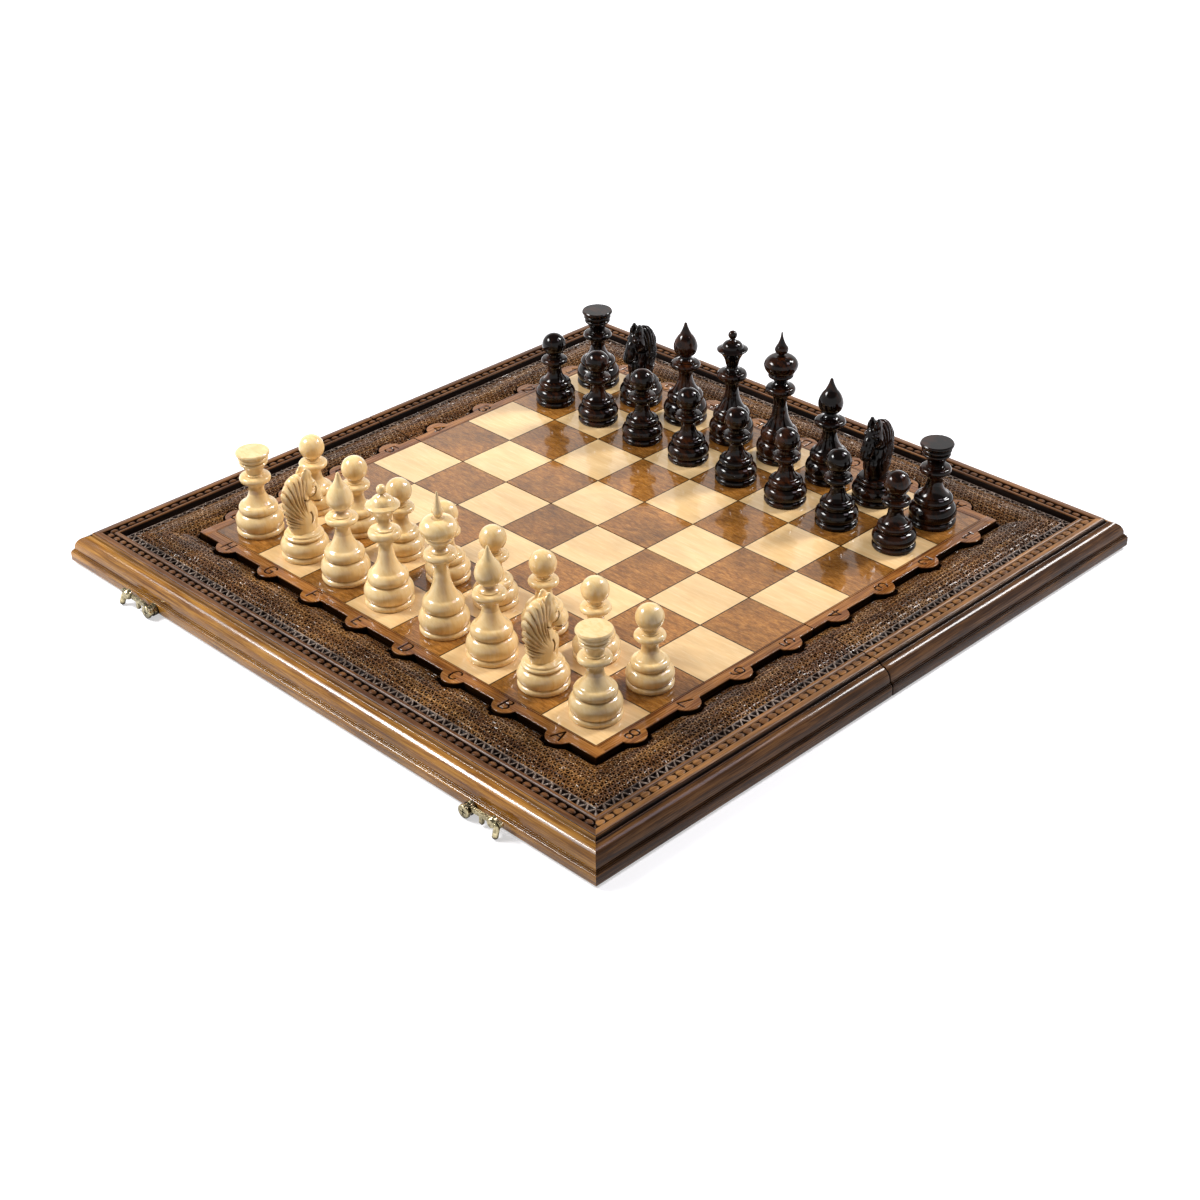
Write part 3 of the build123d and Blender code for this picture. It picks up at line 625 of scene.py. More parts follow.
def plate_side(surface, quarter, span, letters):
    start = -field_half if span in ("full", "low") else seam_y
    end = field_half if span in ("full", "high") else -seam_y
    columns = plate_columns(start, end)
    line_out, line_up, line_darkness = np.transpose(scribe)
    edge_out, edge_up, edge_shade = np.transpose(bevel[1:])
    inner = field_half + line_out
    share = np.linspace(0, 1, plate_rows + 1)[1:]
    flat = np.zeros(plate_rows)
    points, stains_and_shades = [], []
    for along, out in zip(columns, outline(columns)):
        reach = out + bevel[0][0] - inner[-1]
        outs = np.concatenate([inner, inner[-1] + share * reach])
        ups, stain_and_shade = np.concatenate([line_up, flat]), np.concatenate([line_darkness, flat])
        index = int((along + field_half) // square)
        letter = letters.get(index)
        if letter:
            middle = (index + 0.5) * square - field_half
            u, v = along - middle, glyph_out - outs
            if quarter % 2:
                u, v = v, -u
            cut = groove(u, v, letter)
            cut[: len(inner)] = 0
            ups = ups - cut
            stain_and_shade = np.maximum(stain_and_shade, cut)
        outs = np.concatenate([outs, out + edge_out])
        ups = np.concatenate([ups, edge_up])
        points.append(np.column_stack([np.full(len(outs), along), outs, ups]))
        stains_and_shades.append(np.concatenate([stain_and_shade, edge_shade]))
    faces = grid_faces(len(columns), len(points[0]), flip=True)
    surface.add(np.vstack(points), faces, quarter, PLATE, np.concatenate(stains_and_shades))


def plate_corner(surface, quarter):
    """The square of the plate between two sides, with their bevelled edge."""
    points, stains_and_shades, faces = [(field_half, field_half, 0)], [0], [[3, 2, 1, 0]]
    for step, up, stain_and_shade in bevel:
        far = plate_half + step
        points += [(far, field_half, up), (far, far, up), (field_half, far, up)]
        stains_and_shades += [stain_and_shade] * 3
    for a in range(1, len(points) - 3, 3):
        faces += [[a + 1, a + 4, a + 3, a], [a + 2, a + 5, a + 4, a + 1]]
    surface.add(points, faces, quarter, PLATE, stains_and_shades, smooth=False)


def rope_height(along, out):
    """Height of the rope band, a row of leaning beads in a groove, and its painted shade, darker away
    from the bead tops.
    """
    across = out - rope_middle
    turn = np.mod(along + 0.14 * across**2, rope_pitch) - 0.46 * rope_pitch
    lean = np.where(turn > 0, 3.8, 4.6)
    swelling = np.sqrt(np.clip(1 - (turn / lean) ** 2 - (across / 3.0) ** 2, 0, 1))
    side = np.clip(np.abs(across) / rope_half * 9 - 8, 0, 1)
    up = (-2.3 + 2.1 * swelling**0.8) * (1 - side) - side
    return up, 0.15 + 2.3 * (1 - swelling) ** 1.2


def rope_band(surface, quarter, span):
    outs = np.linspace(rope_middle - rope_half, rope_middle + rope_half, 11)
    start, end = spans[span](outs)
    columns = int((end.mean() - start.mean()) / 0.55)
    points, stains_and_shades = [], []
    for t in np.linspace(0, 1, columns):
        along = start + t * (end - start)
        up, stain_and_shade = rope_height(along, outs)
        # Painted light: on the right side the painted shade in the rope's gaps is kept only at the
        # deepest points, as if lit along; the rope is also flatter there.
        if quarter % 4 == 1:
            within = np.abs(outs - rope_middle) < 2.6
            up, stain_and_shade = 0.4 * up - 0.2, 0.65 * stain_and_shade * (stain_and_shade > 1.0) * within
        points.append(np.column_stack([along, outs, up]))
        stains_and_shades.append(stain_and_shade)
    faces = grid_faces(columns, len(outs), flip=True)
    surface.add(np.vstack(points), faces, quarter, rim_slot(quarter), np.concatenate(stains_and_shades))


def rim_slot(quarter):
    return LIT_SIDE_RIM if quarter % 4 == 1 else RIM


def side_letters(row, end):
    """What is cut beside each square of the long side and of the two ends."""
    backwards = {7 - i: number for i, number in enumerate(end)}
    return {0: dict(enumerate(row)), 1: dict(enumerate(end)), 3: backwards}


letters = {"near": side_letters("HGFEDCBA", "8765"), "far": side_letters("ABCDEFGH", "1234")}
stipple = pitted_strip(
    pit_edge, field_start, net_start, pit_rows, (0.58, 0.86), (1.0, 2.2), 0.6, shaded_channel_and_glints=True
)
net = pitted_strip(net_edge, net_start, net_end, 1, (0.84, 0.9), (2.2, 2.6), 0.1)
# (out, up, darkening) of the mouldings inside and outside the rope; the darkening paints shade on
# their walls and into their grooves
ridge = (
    (net_end, -4.4, 1.3), (269.1, -4.2, 1.3), (270.8, -0.9, 1.3), (271.2, -0.35, 0.9),
    (271.8, 0.0, 0.2), (272.7, 0.1, 0), (273.5, 0.0, 0), (274.1, -0.4, 0.3),
    (rope_middle - rope_half, -1.0, 1.2),
)
band = (
    (rope_middle + rope_half, -1.0, 1.2), (281.2, -0.25, 0.3), (281.7, 0, 0), (285.6, 0, 0),
    (286.0, -0.25, 0.1), (panel_edge, -0.6, 0.9), (panel_edge, -fold_depth, 1.3),
)
# (out, up) of the rim where the fold cuts it
rim_line = (
    (net_end, -4.4), (271.2, -0.4), (274.2, -0.4), (274.8, -1.2), (281, -1.2), (281.7, 0),
    (panel_edge, -0.6),
)


def panel(half):
    """The carved panel of one half: plate, field, net, ridge, rope and band, and its tray side."""
    surface = Surface()
    turn = 0 if half == "near" else 2
    for quarter, span in parts_of_half:
        side = quarter + turn
        plate_side(surface, side, span, letters[half][quarter])
        for patch, slot, smooth in ((stipple, FIELD, True), (net, NET_SHEEN, False)):
            points, stains_and_shades, faces = patch[span]
            surface.add(points, faces, side, slot, stains_and_shades, smooth)
        ruled(surface, ridge, side, span, rim_slot(side))
        rope_band(surface, side, span)
        ruled(surface, band, side, span, rim_slot(side))
    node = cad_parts[f"{half}_panel"].data
    low = (panel_z + tray_reach) * MM
    kept = [p for p in node.polygons if all(node.vertices[i].co.z < low for i in p.vertices)]
    used = sorted({i for p in kept for i in p.vertices})
    order = {old: new for new, old in enumerate(used)}
    x, y, z = (np.array([node.vertices[i].co for i in used]) / MM).T
    faces = [[order[i] for i in p.vertices] for p in kept]
    surface.add(np.column_stack([x, -y, z - top_z]), faces, 0, TRAY, 0)
    # The pocket of the squares, painted fully dark as shade
    way = -1 if half == "near" else 1
    corner, seam = field_half, -way * seam_y
    pocket = [(-corner, seam), (corner, seam), (corner, -way * corner), (-corner, -way * corner)]
    points = [(x, y, z) for z in (-veneer, 0) for x, y in pocket]
    faces = [[0, 1, 2, 3], [1, 2, 6, 5], [2, 3, 7, 6], [3, 0, 4, 7]]
    surface.add(points, faces, 0, PLATE, 1, smooth=False)
    for quarter in (0, 3) if half == "near" else (1, 2):
        plate_corner(surface, quarter)
    # Wood at the fold, under the top's outline, painted fully dark as the shadow in the fold's gap
    outs = np.linspace(corner, panel_edge, 90)
    tops = np.where(outs < net_end, swell(outs), np.interp(outs, *np.transpose(rim_line)))
    tops = np.where(outs < plate_half, 0, tops)
    n = len(outs)
    strip = [[i, i + 1, n + i + 1, n + i] for i in range(n - 1)]
    for sign in (-1, 1):
        points = [(sign * o, seam, t - 0.02) for o, t in zip(outs, tops)]
        points += [(sign * o, seam, -fold_depth) for o in outs]
        surface.add(points, strip, 0, TRAY, 1, smooth=False)
    ends = ((-corner, -veneer), (corner, -veneer), (corner, -fold_depth), (-corner, -fold_depth))
    surface.add([(x, seam, z) for x, z in ends], [[0, 1, 2, 3]], 0, TRAY, 1, smooth=False)
    woods = (plate_wood, carved, rim_wood, tray_wood, lit_side_rim_wood, net_sheen_wood)
    made = surface.build(f"{half}_panel_carved", woods)
    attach(made, f"{half}_half")
    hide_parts(f"{half}_panel")


# Frame rails with their fine beads
def arc(out, up, wide, high, angles, stain_and_shade=0):
    return [(out + wide * cos(radians(a)), up + high * sin(radians(a)), stain_and_shade) for a in angles]


# (out, up, darkening) from the rim's edge over the round and the beads to the inner ledge; the
# darkening paints shade into the grooves between beads
rail_points = np.array([
    (286.35, -0.5, 0.6), (286.7, -0.35, 0), (287.0, -0.5, 0.3), (287.15, -2.6, 1.0),
    (288.0, -3.3, 1.0), (288.35, -3.15, 0.3), *arc(288.75, -3.1, 0.4, 0.4, (150, 110, 70, 30, 0)),
    (289.3, -3.5, 0.6), (289.6, -3.6, 0.3), *arc(288.9, -14.0, 9.5, 10.6, range(86, -1, -6)),
    (298.4, -14.4, 0.5), (298.5, -14.8, 0.9),
    *arc(298.9, -15.1, 0.45, 0.45, (120, 80, 40, 0, -40), 0.75), (299.4, -15.75, 0.9),
    *arc(299.85, -16.2, 0.45, 0.45, (110, 70, 30, 0), 0.75), (300.3, -16.8, 0.9),
    (300.7, -17.0, 0.1), (301.0, -17.4, 0), (301.0, -20.0, 0), (301.0, -24.0, 0),
    *arc(299.0, -24.0, 2, 2, (-15, -30, -45, -60, -75, -90)),
    (281.0, -26.0, 0), (281.0, -10.0, 0), (286.35, -10.0, 0),
])
rail_core = np.array([291.0, -13.0])
# Painted light: the front rail faces the light, so only this share of the painted shade is kept in
# its grooves.
front_shade_share = 0.62
seam_shrink = 0.95


def rail(name, body, quarter, span):
    surface = Surface()
    profile = rail_points * (1, 1, 1 if quarter % 4 else front_shade_share)
    ruled(surface, profile, quarter, span, 0, columns=40, core=rail_core)
    section = rail_points[:, :2]
    order = list(range(len(section)))
    start, stop = spans[span](section[:, 0])
    for along, way, at_seam in ((start, -1, span == "high"), (stop, 1, span == "low")):
        face = rail_core + (section - rail_core) * (seam_shrink if at_seam else 1.0)
        cap = np.column_stack([along, face])
        # Painted shade: the rail's end faces are fully darkened, as the shadow in the gap at the
        # seam.
        surface.add(cap, [order[::way]], quarter, 0, 1, smooth=False)
    wood_here = rail_wood if quarter % 2 == 0 else shaded_end_rail_wood
    made = surface.build(name + "_moulding", (wood_here,), crease=50)
    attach(made, body)
    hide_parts(name)


for half, turn, long_side, ends in (
    ("near", 0, "front", ("right", "left")),
    ("far", 2, "back", ("left", "right")),
):
    panel(half)
    rail(f"{half}_{long_side}_rail", f"{half}_half", turn, "full")
    rail(f"{half}_{ends[0]}_rail", f"{half}_half", turn + 1, "low")
    rail(f"{half}_{ends[1]}_rail", f"{half}_half", turn + 3, "high")


# Chess pieces
arc_step = 0.9


def arc_through(a, b, c):
    """Points on the arc from a through b to c, without a."""
    (ax, ay), (bx, by), (cx, cy) = a, b, c
    d = 2 * (ax * (by - cy) + bx * (cy - ay) + cx * (ay - by))
    if abs(d) < 1e-9:
        return [c]
    sa, sb, sc = ax**2 + ay**2, bx**2 + by**2, cx**2 + cy**2
    ux = (sa * (by - cy) + sb * (cy - ay) + sc * (ay - by)) / d
    uy = (sa * (cx - bx) + sb * (ax - cx) + sc * (bx - ax)) / d
    r = sqrt((ax - ux) ** 2 + (ay - uy) ** 2)
    start, through, end = (atan2(y - uy, x - ux) for x, y in (a, b, c))
    turn = (end - start) % (2 * pi)
    if (through - start) % (2 * pi) > turn:
        turn -= 2 * pi
    count = max(3, min(26, int(abs(turn) * r / arc_step) + 2))
    angles = [start + turn * i / count for i in range(1, count + 1)]
    return [(ux + r * cos(t), uy + r * sin(t)) for t in angles]


def sampled(steps):
    here = steps[0]
    points = [here]
    for step in steps[1:]:
        if len(step) == 4:
            points += arc_through(here, step[:2], step[2:])
        else:
            points.append(tuple(step))
        here = step[-2:]
    return points


def foot_and_bulge(base_r, bulge_top):
    foot = 4.4
    return [
        (0, 0), (base_r - 1.0, 0), (base_r - 0.7, 0.3), (base_r, foot / 2, base_r - 0.7, foot),
        (base_r - 1.6, foot + 0.4),
        (base_r + 0.1, (foot + bulge_top) / 2, base_r - 3.4, bulge_top),
        (base_r - 4.6, bulge_top + 0.5), (base_r - 4.6, bulge_top + 1.3),
    ]


def shaft(base_r, bulge_top, neck_r, neck_z, collar_r, low, high, above_r):
    """Foot, bulge, bell and collar, up to where the head starts."""
    waist = bulge_top + 1.8
    shoulder = waist + 0.36 * (neck_z - waist)
    return foot_and_bulge(base_r, bulge_top) + [
        (base_r - 3.7, waist),
        (base_r - 3.4, (waist + shoulder) / 2 - 0.6, base_r - 7.0, shoulder),
        ((base_r - 7.0) * 0.45 + neck_r * 0.55 - 0.9, (shoulder + neck_z) / 2, neck_r, neck_z),
        (neck_r - 0.1, low - 4.0, neck_r + 1.6, low), (collar_r - 0.8, low + 1.4),
        (collar_r, (low + high) / 2 + 0.5, collar_r - 1.6, high),
        (above_r + 1.2, high + 0.3), (above_r + 1.2, high + 1.4), (above_r, high + 1.8),
    ]


def down(top, *steps):
    """Stations given by their radii and their drops below the top."""
    return [tuple(top - v if i % 2 else v for i, v in enumerate(step)) for step in steps]


def ball(ball_r, neck_r, top):
    seat = sqrt(ball_r**2 - neck_r**2)
    return [(neck_r, top - ball_r - seat), (ball_r, top - ball_r, 0, top)]


def pawn_outline():
    neck_r, top = 6.0, 65.4
    stem = shaft(pawn_base_r, 15.0, 6.1, top - 34.4, 11.6, top - 28.4, top - 22.8, neck_r)
    return stem + ball(10.4, neck_r, top)


def rook_outline():
    cup_r, top = 13.6, 70.6
    stem = shaft(major_base_r, 17.4, 6.4, top - 34.6, 12.6, top - 27.1, top - 21.0, 6.8)
    return stem + down(
        top, (7.4, 15.6, 9.4, 11.8), (10.4, 11.0), (11.3, 10.0, 10.9, 8.8), (10.1, 8.3),
        (10.3, 7.7), (12.0, 6.5, 11.8, 5.3), (11.3, 4.7), (11.8, 4.2), (cup_r - 0.5, 2.6),
        (cup_r, 1.5, cup_r - 0.4, 0.5), (cup_r - 0.9, 0), (cup_r * 0.5, 0), (0, 0),
    )


def bishop_outline():
    head_r, top = 10.4, 91.0
    stem = shaft(major_base_r, 18.0, 6.1, top - 50.0, 12.9, top - 42.5, top - 36.6, 7.4)
    return stem + down(
        top, (5.0, 32.6), (4.6, 31.4), (head_r - 1.6, 27.8, head_r, 21.5),
        (head_r - 1.6, 16.0, 5.4, 11.0), (3.2, 6.8, 1.2, 0.9), (0.4, 0), (0, 0),
    )


def queen_outline():
    saucer_r, top = 13.2, 99.6
    stem = shaft(major_base_r, 18.0, 6.0, top - 56.2, 12.8, top - 44.1, top - 37.0, 7.0)
    saucer = down(
        top, (5.2, 33.6, 5.6, 30.2), (7.6, 23.6, saucer_r - 0.6, 17.4),
        (saucer_r, 16.6, saucer_r - 0.4, 16.0), (9.2, 14.6), (8.2, 12.2, 4.6, 9.4), (2.4, 8.0),
    )
    return stem + saucer + ball(3.8, 1.9, top)


def king_outline(spike_r):
    turnip_r, top = 14.4, 115.0
    stem = shaft(major_base_r, 18.0, 6.2, top - 69.0, 12.7, top - 55.0, top - 48.6, 6.8)
    return stem + down(
        top, (5.4, 45.0), (6.4, 42.4, 9.6, 40.0), (10.6, 38.8, 10.2, 37.4), (9.8, 36.8),
        (turnip_r - 1.4, 33.4, turnip_r, 28.4), (turnip_r - 2.6, 23.8, 4.6, 21.4), (2.6, 20.8),
        (2.6, 19.6), (spike_r, 16.4, spike_r - 1.0, 12.6), (1.9, 7.0, 0.7, 0.9), (0.3, 0), (0, 0),
    )


def knight_pedestal():
    top = 22.0
    return foot_and_bulge(major_base_r, 16.0) + [
        (15.6, 17.8), (15.8, 18.8, 14.8, 19.8), (14.2, 20.2), (14.0, 21.4, 13.0, top), (0, top),
    ]


def lathe(steps, sides=80):
    """Points, quads and painted hollow shade of a turned piece round the Z axis, darker where the
    profile is narrower than above and below.
    """
    profile = sampled(steps)
    inner = [p for p in profile if p[0] > 1e-6]
    radii, heights = np.array(inner).T
    rise = heights[None] - heights[:, None]
    hollow_shade = np.zeros(len(radii))
    for reach, allowed, full in ((3.0, 0.3, 2.4), (11.0, 1.5, 11.0)):
        over = np.where((rise > 0.02) & (rise < reach), radii[None], 0).max(1)
        under = np.where((rise < -0.02) & (rise > -reach), radii[None], 0).max(1)
        hollow_shade = np.maximum(hollow_shade, np.clip((np.minimum(over, under) - radii - allowed) / full, 0, 1))
    hollow_shade = np.concatenate([[0, 0], np.repeat(hollow_shade, sides)])
    points = [(0.0, 0.0, profile[0][1]), (0.0, 0.0, profile[-1][1])]
    angles = np.arange(sides) * 2 * pi / sides
    for r, z in inner:
        points += [(r * cos(t), r * sin(t), z) for t in angles]
    faces = []
    for i in range(len(inner) - 1):
        for j in range(sides):
            k = (j + 1) % sides
            a, b = 2 + i * sides, 2 + (i + 1) * sides
            faces.append([a + j, a + k, b + k, b + j])
    last = 2 + (len(inner) - 1) * sides
    for j in range(sides):
        k = (j + 1) % sides
        faces.append([0, 2 + k, 2 + j])
        faces.append([1, last + j, last + k])
    return np.array(points), faces, hollow_shade


# The horse's head is a distance field, meshed with a surface net.
def smooth_min(a, b, k):
    h = np.clip(0.5 + 0.5 * (b - a) / k, 0, 1)
    return b + (a - b) * h - k * h * (1 - h)


def limb(x, y, z, stations, k=2.0):
    """Distance to rounded segments through stations (along, up, half depth, half width)."""
    whole = None
    for (ya, za, ra, wa), (yb, zb, rb, wb) in zip(stations, stations[1:]):
        ey, ez = yb - ya, zb - za
        t = np.clip(((y - ya) * ey + (z - za) * ez) / (ey**2 + ez**2), 0, 1)
        r = ra + t * (rb - ra)
        w = wa + t * (wb - wa)
        d = np.sqrt((x * r / w) ** 2 + (y - ya - t * ey) ** 2 + (z - za - t * ez) ** 2) - r
        whole = d if whole is None else smooth_min(whole, d, k)
    return whole


def blob(x, y, z, centre, radii):
    parts = [((a - c) / r) ** 2 for a, c, r in zip((x, y, z), centre, radii)]
    return (np.sqrt(sum(parts)) - 1) * min(radii)


def mane(y, z):
    """Where the mane lies, how far the nearest cut is, and how wide that cut is here."""
    reach = np.hypot(y - 3.5, z - 28.5)
    angle = np.degrees(np.arctan2(z - 28.5, 3.5 - y)) - 0.55 * (reach - 22.0)
    lock = np.interp(angle, [-60, 0, 15, 40, 60, 90], [-5.0, 0.0, 1.4, 4.6, 7.8, 13.0])
    pitch = np.radians(np.interp(angle, [7, 27, 50, 75], [10.7, 7.8, 6.2, 5.8]))
    gap = np.abs(np.mod(lock, 1.0) - 0.5) * pitch * reach
    odd = np.sin(2.4 * np.floor(lock))
    start = np.interp(z, [24, 32, 44, 56, 66], [9.0, 9.5, 12.0, 17.0, 23.0]) + 2.2 * odd
    inside = np.clip((reach - start) / 6.0, 0, 1) * np.clip((84.0 - angle) / 5.0, 0, 1)
    inside = inside * np.clip((angle - 2.0) / 4.0, 0, 1) * np.clip((7.0 - y) / 2.0, 0, 1)
    return inside, gap, 0.25 + 0.75 * inside


def line_cuts(side, y, z):
    """Distance to the narrow cuts of the mouth, the jaw and the chest."""
    along_mouth = np.clip((y - 9.5) / 8.0, 0, 1)
    mouth = np.hypot(z - (44.8 - 2.2 * along_mouth), np.clip(9.5 - y, 0, None)) - 0.5
    jaw = np.abs(np.hypot(y - 4.0, z - 56.0) - 7.6) - 0.5
    jaw = np.maximum(jaw, np.maximum(z - 57.5, -2.0 - y))
    chest = np.abs(np.hypot(y + 4.5, z - 34.5) - 8.6) - 0.6
    chest = np.maximum(chest, np.maximum(np.abs(z - 34.5) - 4.8, -y))
    return np.maximum(np.minimum(np.minimum(mouth, jaw), chest), 2.4 - side)


def horse(x, y, z):
    """Distance field of the horse's neck and head, which looks along +Y."""
    side = np.abs(x)
    crest_line = (
        (0.5, 24.0, 11.6, 8.6), (-0.8, 33.0, 12.8, 8.8), (-4.4, 44.0, 11.9, 8.6),
        (-5.4, 54.5, 11.0, 7.8), (-4.0, 61.0, 8.8, 6.8), (-1.8, 64.8, 5.6, 5.2),
    )
    chest = blob(x, y, z, (0, 7.4, 34.0), (6.6, 5.6, 9.0))
    neck = smooth_min(limb(x, y, z, crest_line, 1.5), chest, 2.5)
    nose_line = (
        (-1.0, 62.6, 6.8, 5.8), (5.0, 60.4, 7.6, 6.4), (10.0, 54.4, 6.4, 5.6),
        (13.4, 48.6, 5.6, 5.1), (15.2, 45.0, 5.2, 4.8),
    )
    cheek = blob(side, y, z, (2.4, 4.6, 56.0), (4.8, 6.2, 6.6))
    head = smooth_min(limb(x, y, z, nose_line, 1.5), cheek, 2.0)
    brow = blob(side, y, z, (4.4, 9.4, 61.6), (1.9, 3.0, 1.6))
    head = smooth_min(head, brow, 1.0)
    eye = blob(side, y, z, (5.6, 9.2, 59.0), (1.7, 2.2, 1.6))
    head = np.maximum(head, -eye)
    head = np.minimum(head, blob(side, y, z, (5.0, 9.2, 59.0), (1.4, 1.5, 1.2)))
    nostril = blob(side, y, z, (4.6, 17.8, 45.6), (1.3, 1.2, 1.0))
    head = np.maximum(head, -nostril)
    throat = blob(x, y, z, (0, 10.4, 44.6), (9.5, 3.4, 5.6))
    body = smooth_min(np.maximum(neck, -throat), head, 0.8)
    inside, gap, wide = mane(y, z)
    body = body - 0.35 * inside + 1.9 * inside * np.clip(1 - gap / wide, 0, 1)
    body = np.maximum(body, -line_cuts(side, y, z))
    ear_line = ((4.6, 63.5, 5.4, 2.7), (5.0, 68.6, 4.8, 2.4), (4.8, 72.8, 2.0, 1.5))
    hollow_line = ((6.4, 66.0, 2.6, 1.7), (6.0, 69.0, 2.2, 1.5), (5.2, 72.4, 0.6, 0.5))
    ear = limb(side - 3.2, y, z, ear_line, 0.6)
    ear = np.maximum(ear, -limb(side - 7.0, y, z, hollow_line, 0.4))
    body = smooth_min(body, ear, 0.7)
    forelock_line = ((1.0, 68.0, 2.6, 2.0), (6.0, 66.4, 2.0, 1.7), (10.6, 61.6, 1.0, 0.9))
    body = smooth_min(body, limb(x, y, z, forelock_line, 0.8), 0.7)
    return np.maximum(body, 21.5 - z)


def surface_net(field, origin, step):
    """Quads of the zero surface of a sampled distance field."""
    inside = field < 0
    shape = tuple(n - 1 for n in field.shape)
    total = np.zeros(shape + (3,))
    count = np.zeros(shape)
    for axis in range(3):
        others = [a for a in range(3) if a != axis]
        for corner in ((0, 0), (0, 1), (1, 0), (1, 1)):
            base, tip = [0, 0, 0], [1, 1, 1]
            for other, side in zip(others, corner):
                base[other] = tip[other] = side
            ends = [tuple(slice(b, b + n) for b, n in zip(end, shape)) for end in (base, tip)]
            lo, hi = field[ends[0]], field[ends[1]]
            cross = (lo < 0) != (hi < 0)
            t = np.where(cross, lo / np.where(cross, lo - hi, 1), 0)
            for a in range(3):
                value = base[a] + (t if a == axis else 0)
                total[..., a] += np.where(cross, value, 0)
            count += cross
    active = count > 0
    index = np.full(shape, -1)
    index[active] = np.arange(active.sum())
    cells = np.argwhere(active)
    points = origin + step * (cells + total[active] / count[active][:, None])
    faces = []
    for axis in range(3):
        u, v = (axis + 1) % 3, (axis + 2) % 3
        lo = [slice(None)] * 3
        hi = [slice(None)] * 3
        lo[axis], hi[axis] = slice(0, -1), slice(1, None)
        a, b = inside[tuple(lo)], inside[tuple(hi)]
        limit = np.array(field.shape)[[u, v]] - 1
        du, dv = np.eye(3, dtype=int)[[u, v]]
        for flag, turn in ((a & ~b, False), (~a & b, True)):
            edges = np.argwhere(flag)
            across = edges[:, [u, v]]
            edges = edges[((across > 0) & (across < limit)).all(1)]
            corners = [edges - i * du - j * dv for i, j in ((1, 1), (0, 1), (0, 0), (1, 0))]
            quad = np.column_stack([index[tuple(c.T)] for c in corners])
            faces.append(quad[:, ::-1] if turn else quad)
    return points, np.vstack(faces)


def knight_points():
    step = 0.45
    xs = np.arange(-12, 12.01, step)
    ys = np.arange(-21, 24.01, step)
    zs = np.arange(20, 78.01, step)
    x, y, z = np.meshgrid(xs, ys, zs, indexing="ij")
    points, faces = surface_net(horse(x, y, z), np.array([xs[0], ys[0], zs[0]]), step)
    base, base_faces, base_hollow_shade = lathe(knight_pedestal())
    faces = [[i + len(base) for i in f] for f in faces.tolist()]
    x, y, z = points.T
    # Painted shade in the cuts of the mane, mouth, jaw and chest, darker towards each cut's middle
    # and none on the ears.
    inside, gap, wide = mane(y, z)
    fine = 0.3 * np.exp(-(((gap - 1.5) / 0.3) ** 2))
    depth = 0.68 + 0.14 * np.sin(0.31 * z + 0.23 * y)
    line = inside * depth * np.maximum(np.exp(-((gap / (0.8 * wide)) ** 2)), fine)
    cuts = line_cuts(np.abs(x), y, z)
    line = np.maximum(line, 0.6 * np.exp(-((np.clip(cuts, 0, None) / 0.45) ** 2)))
    line = line * np.clip((67.5 - z) / 1.5, 0, 1)
    hollow_shade = np.concatenate([base_hollow_shade, line])
    return np.vstack([base, points]), base_faces + faces, hollow_shade



shapes = {
    "pawn": lathe(pawn_outline()), "rook": lathe(rook_outline()),
    "bishop": lathe(bishop_outline()), "queen": lathe(queen_outline()), "knight": knight_points(),
}
for colour, material, spike_r in (("white", white_wood, 4.2), ("black", black_wood, 5.6)):
    shapes["king"] = lathe(king_outline(spike_r))
    meshes = {}
    for kind, (points, faces, hollow_shade) in shapes.items():
        smooth = [True] * len(faces)
        name = f"{colour}_{kind}_mesh"
        meshes[kind] = mesh_from(name, points, faces, hollow_shade, smooth, 38, (material,))
    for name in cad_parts:
        if name.startswith(colour + "_"):
            kind = name.split("_")[1]
            low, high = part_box(name)
            base_r = (pawn_base_r if kind == "pawn" else major_base_r) * MM
            y = low.y + base_r if colour == "white" else high.y - base_r
            piece = placed(name + "_turned", meshes[kind])
            piece.location = ((low.x + high.x) / 2, y, top_z * MM)
            if kind == "knight" and colour == "black":
                piece.rotation_euler = (0, 0, pi)
            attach(piece, name)
            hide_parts(name)


# The nodes that stay
def dress(material, *names):
    for name in names:
        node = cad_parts[name]
        if not node.material_slots:
            node.data.materials.append(material)
        for slot in node.material_slots:
            slot.material = material


for half in ("near", "far"):
    dress(light_wood, f"{half}_light_squares", f"{half}_light_points")
    dress(dark_wood, f"{half}_dark_squares", f"{half}_dark_points")
    dress(tray_wood, f"{half}_hinge_rail")
    dress(metal, f"{half}_hinge_leaves", f"{half}_hinge_screws")
for side in ("left", "right"):
    dress(metal, f"{side}_clasp_post", f"{side}_clasp_hook")
dress(metal, "hinge_pins", "clasp_catches")


# Stage, light, camera
def seen_rays(g):
    """One for the rays that look at the background: camera, glossy and transmission."""
    path = g.tree.nodes.new("ShaderNodeLightPath")
    seen = g.math("MAXIMUM", path.outputs["Is Camera Ray"], path.outputs["Is Glossy Ray"])
    return g.math("MAXIMUM", seen, path.outputs["Is Transmission Ray"])


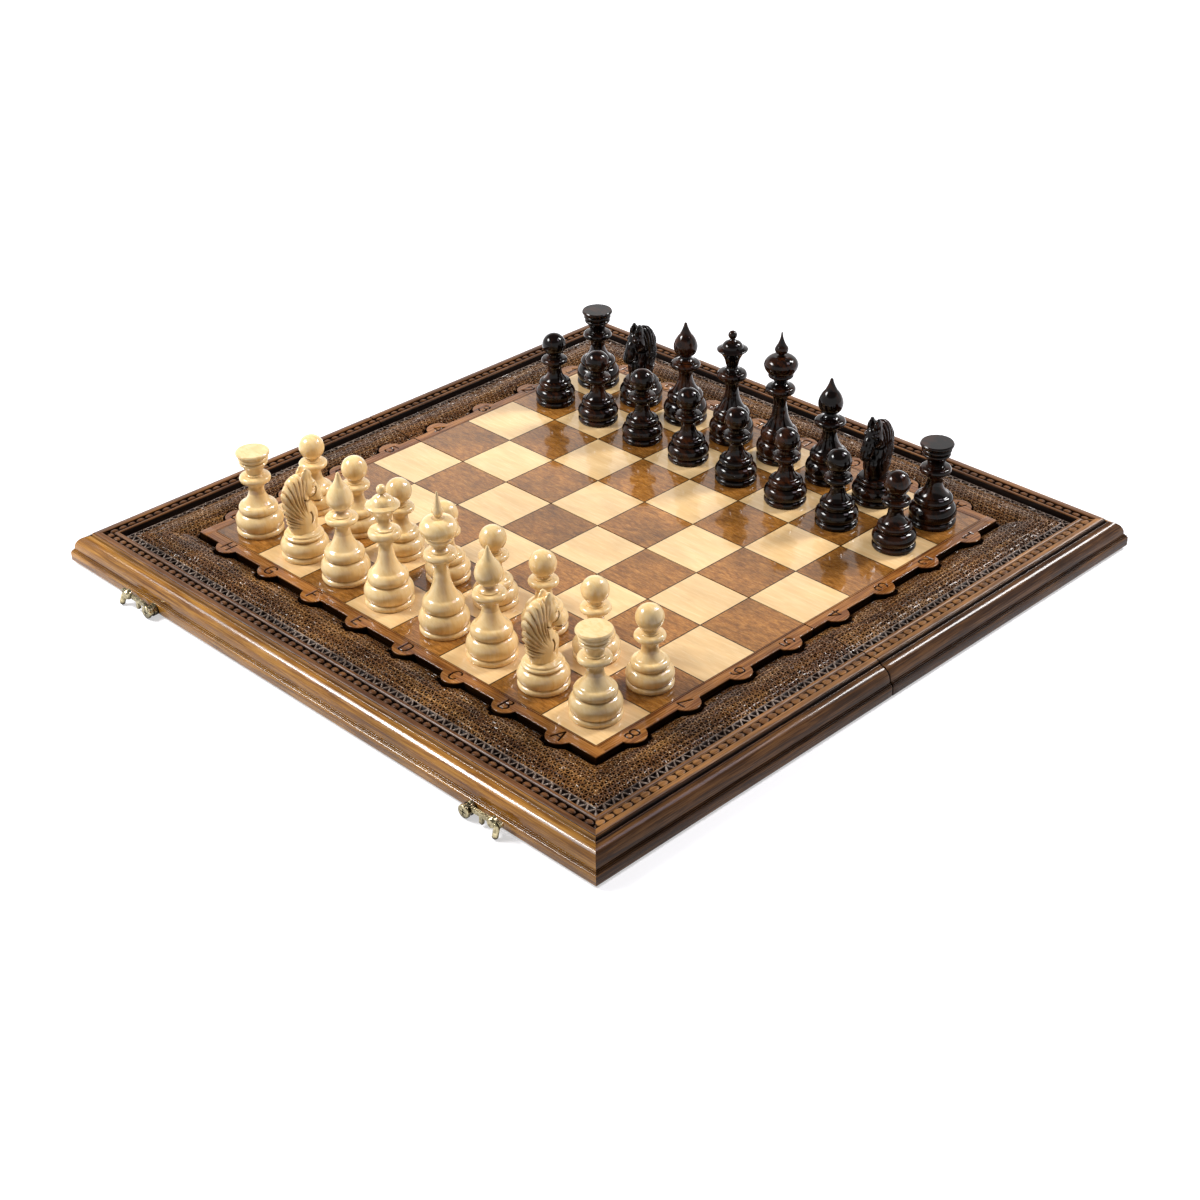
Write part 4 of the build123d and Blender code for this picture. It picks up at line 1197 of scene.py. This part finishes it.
def floor_and_world():
    size = 5.0
    corners = [(-size, -size, 0), (size, -size, 0), (size, size, 0), (-size, size, 0)]
    mesh = bpy.data.meshes.new("floor")
    mesh.from_pydata(corners, [], [[0, 1, 2, 3]])
    floor = placed("floor", mesh)
    g = Graph("floor")
    matt = g.node("BsdfDiffuse", (0.60, 0.60, 0.62, 1.0))
    away = g.node("VectorMath", g.node("TexCoord", out=3), operation="LENGTH", out=1)
    glow = g.node("Emission", (1.0, 1.0, 1.0, 1.0), g.span(away, 0.6, 1.8, 0.54, 1.0))
    none = g.node("Emission", (0.0, 0.0, 0.0, 1.0), 0.0)
    both = g.node("AddShader", matt, g.node("MixShader", seen_rays(g), none, glow))
    g.end("Material", both)
    mesh.materials.append(g.material)
    world = bpy.data.worlds.new("studio")
    bpy.context.scene.world = world
    world.use_nodes = True
    w = Graph("studio", world.node_tree)
    way = w.node("SeparateXYZ", w.node("TexCoord", out=0), out=2)
    mirrored = w.tree.nodes.new("ShaderNodeLightPath").outputs["Is Glossy Ray"]
    ceiling = w.times(mirrored, w.span(way, 0.47, 0.60))
    seen = w.times(seen_rays(w), w.span(ceiling, 0.0, 1.0, 1.0, 0.1))
    strength = w.span(seen, 0.0, 1.0, 0.13, 1.0)
    ground = w.node("Background", (1.0, 1.0, 1.0, 1.0), strength)
    w.end("World", ground)


def lamp(name, place, aim, size, power, colour=(1.0, 1.0, 1.0)):
    data = bpy.data.lights.new(name, "AREA")
    data.shape = "RECTANGLE"
    data.size, data.size_y = size
    data.energy = power
    data.color = colour
    made = placed(name, data)
    made.location = place
    made.rotation_mode = "QUATERNION"
    made.rotation_quaternion = (Vector(place) - Vector(aim)).to_track_quat("Z", "Y")


# Where the camera stands, in squares from the middle of the field, and its angles
camera_place = (19.74810669, -19.23092953, 15.42886127)
azimuth, elevation, roll = 0.7981584478565202, 0.5452557611743917, -0.020352714285228397


def camera():
    x, y, z = (value * (square * MM) for value in camera_place)
    place = Vector((x, y, z + top_z * MM))
    back = Vector((sin(azimuth) * cos(elevation), -cos(azimuth) * cos(elevation), sin(elevation)))
    right = (-back).cross(Vector((0, 0, 1))).normalized()
    up = right.cross(-back)
    across = right * cos(roll) + up * sin(roll)
    above = up * cos(roll) - right * sin(roll)
    data = bpy.data.cameras.new("camera")
    data.lens = 63.85
    data.sensor_width = 36.0
    made = placed("camera", data)
    turn = Matrix((across, above, back)).transposed().to_4x4()
    made.matrix_world = Matrix.Translation(place) @ turn
    bpy.context.scene.camera = made


floor_and_world()
middle = (0, 0, 0.03)
lamp("key_left", (-1.2, -1.0, 1.45), middle, (0.6, 0.45), 34)
lamp("soft_left", (-1.25, -1.05, 1.5), middle, (1.3, 0.6), 22)
lamp("back_right", (0.5, 1.45, 1.35), middle, (0.35, 0.6), 36)
lamp("rail_glow", (0.55, 0.5, 1.0), (0.3, -0.2, 0.02), (0.4, 0.3), 2.2, (1.0, 0.86, 1.0))
camera()
bpy.context.scene.view_settings.view_transform = "Standard"
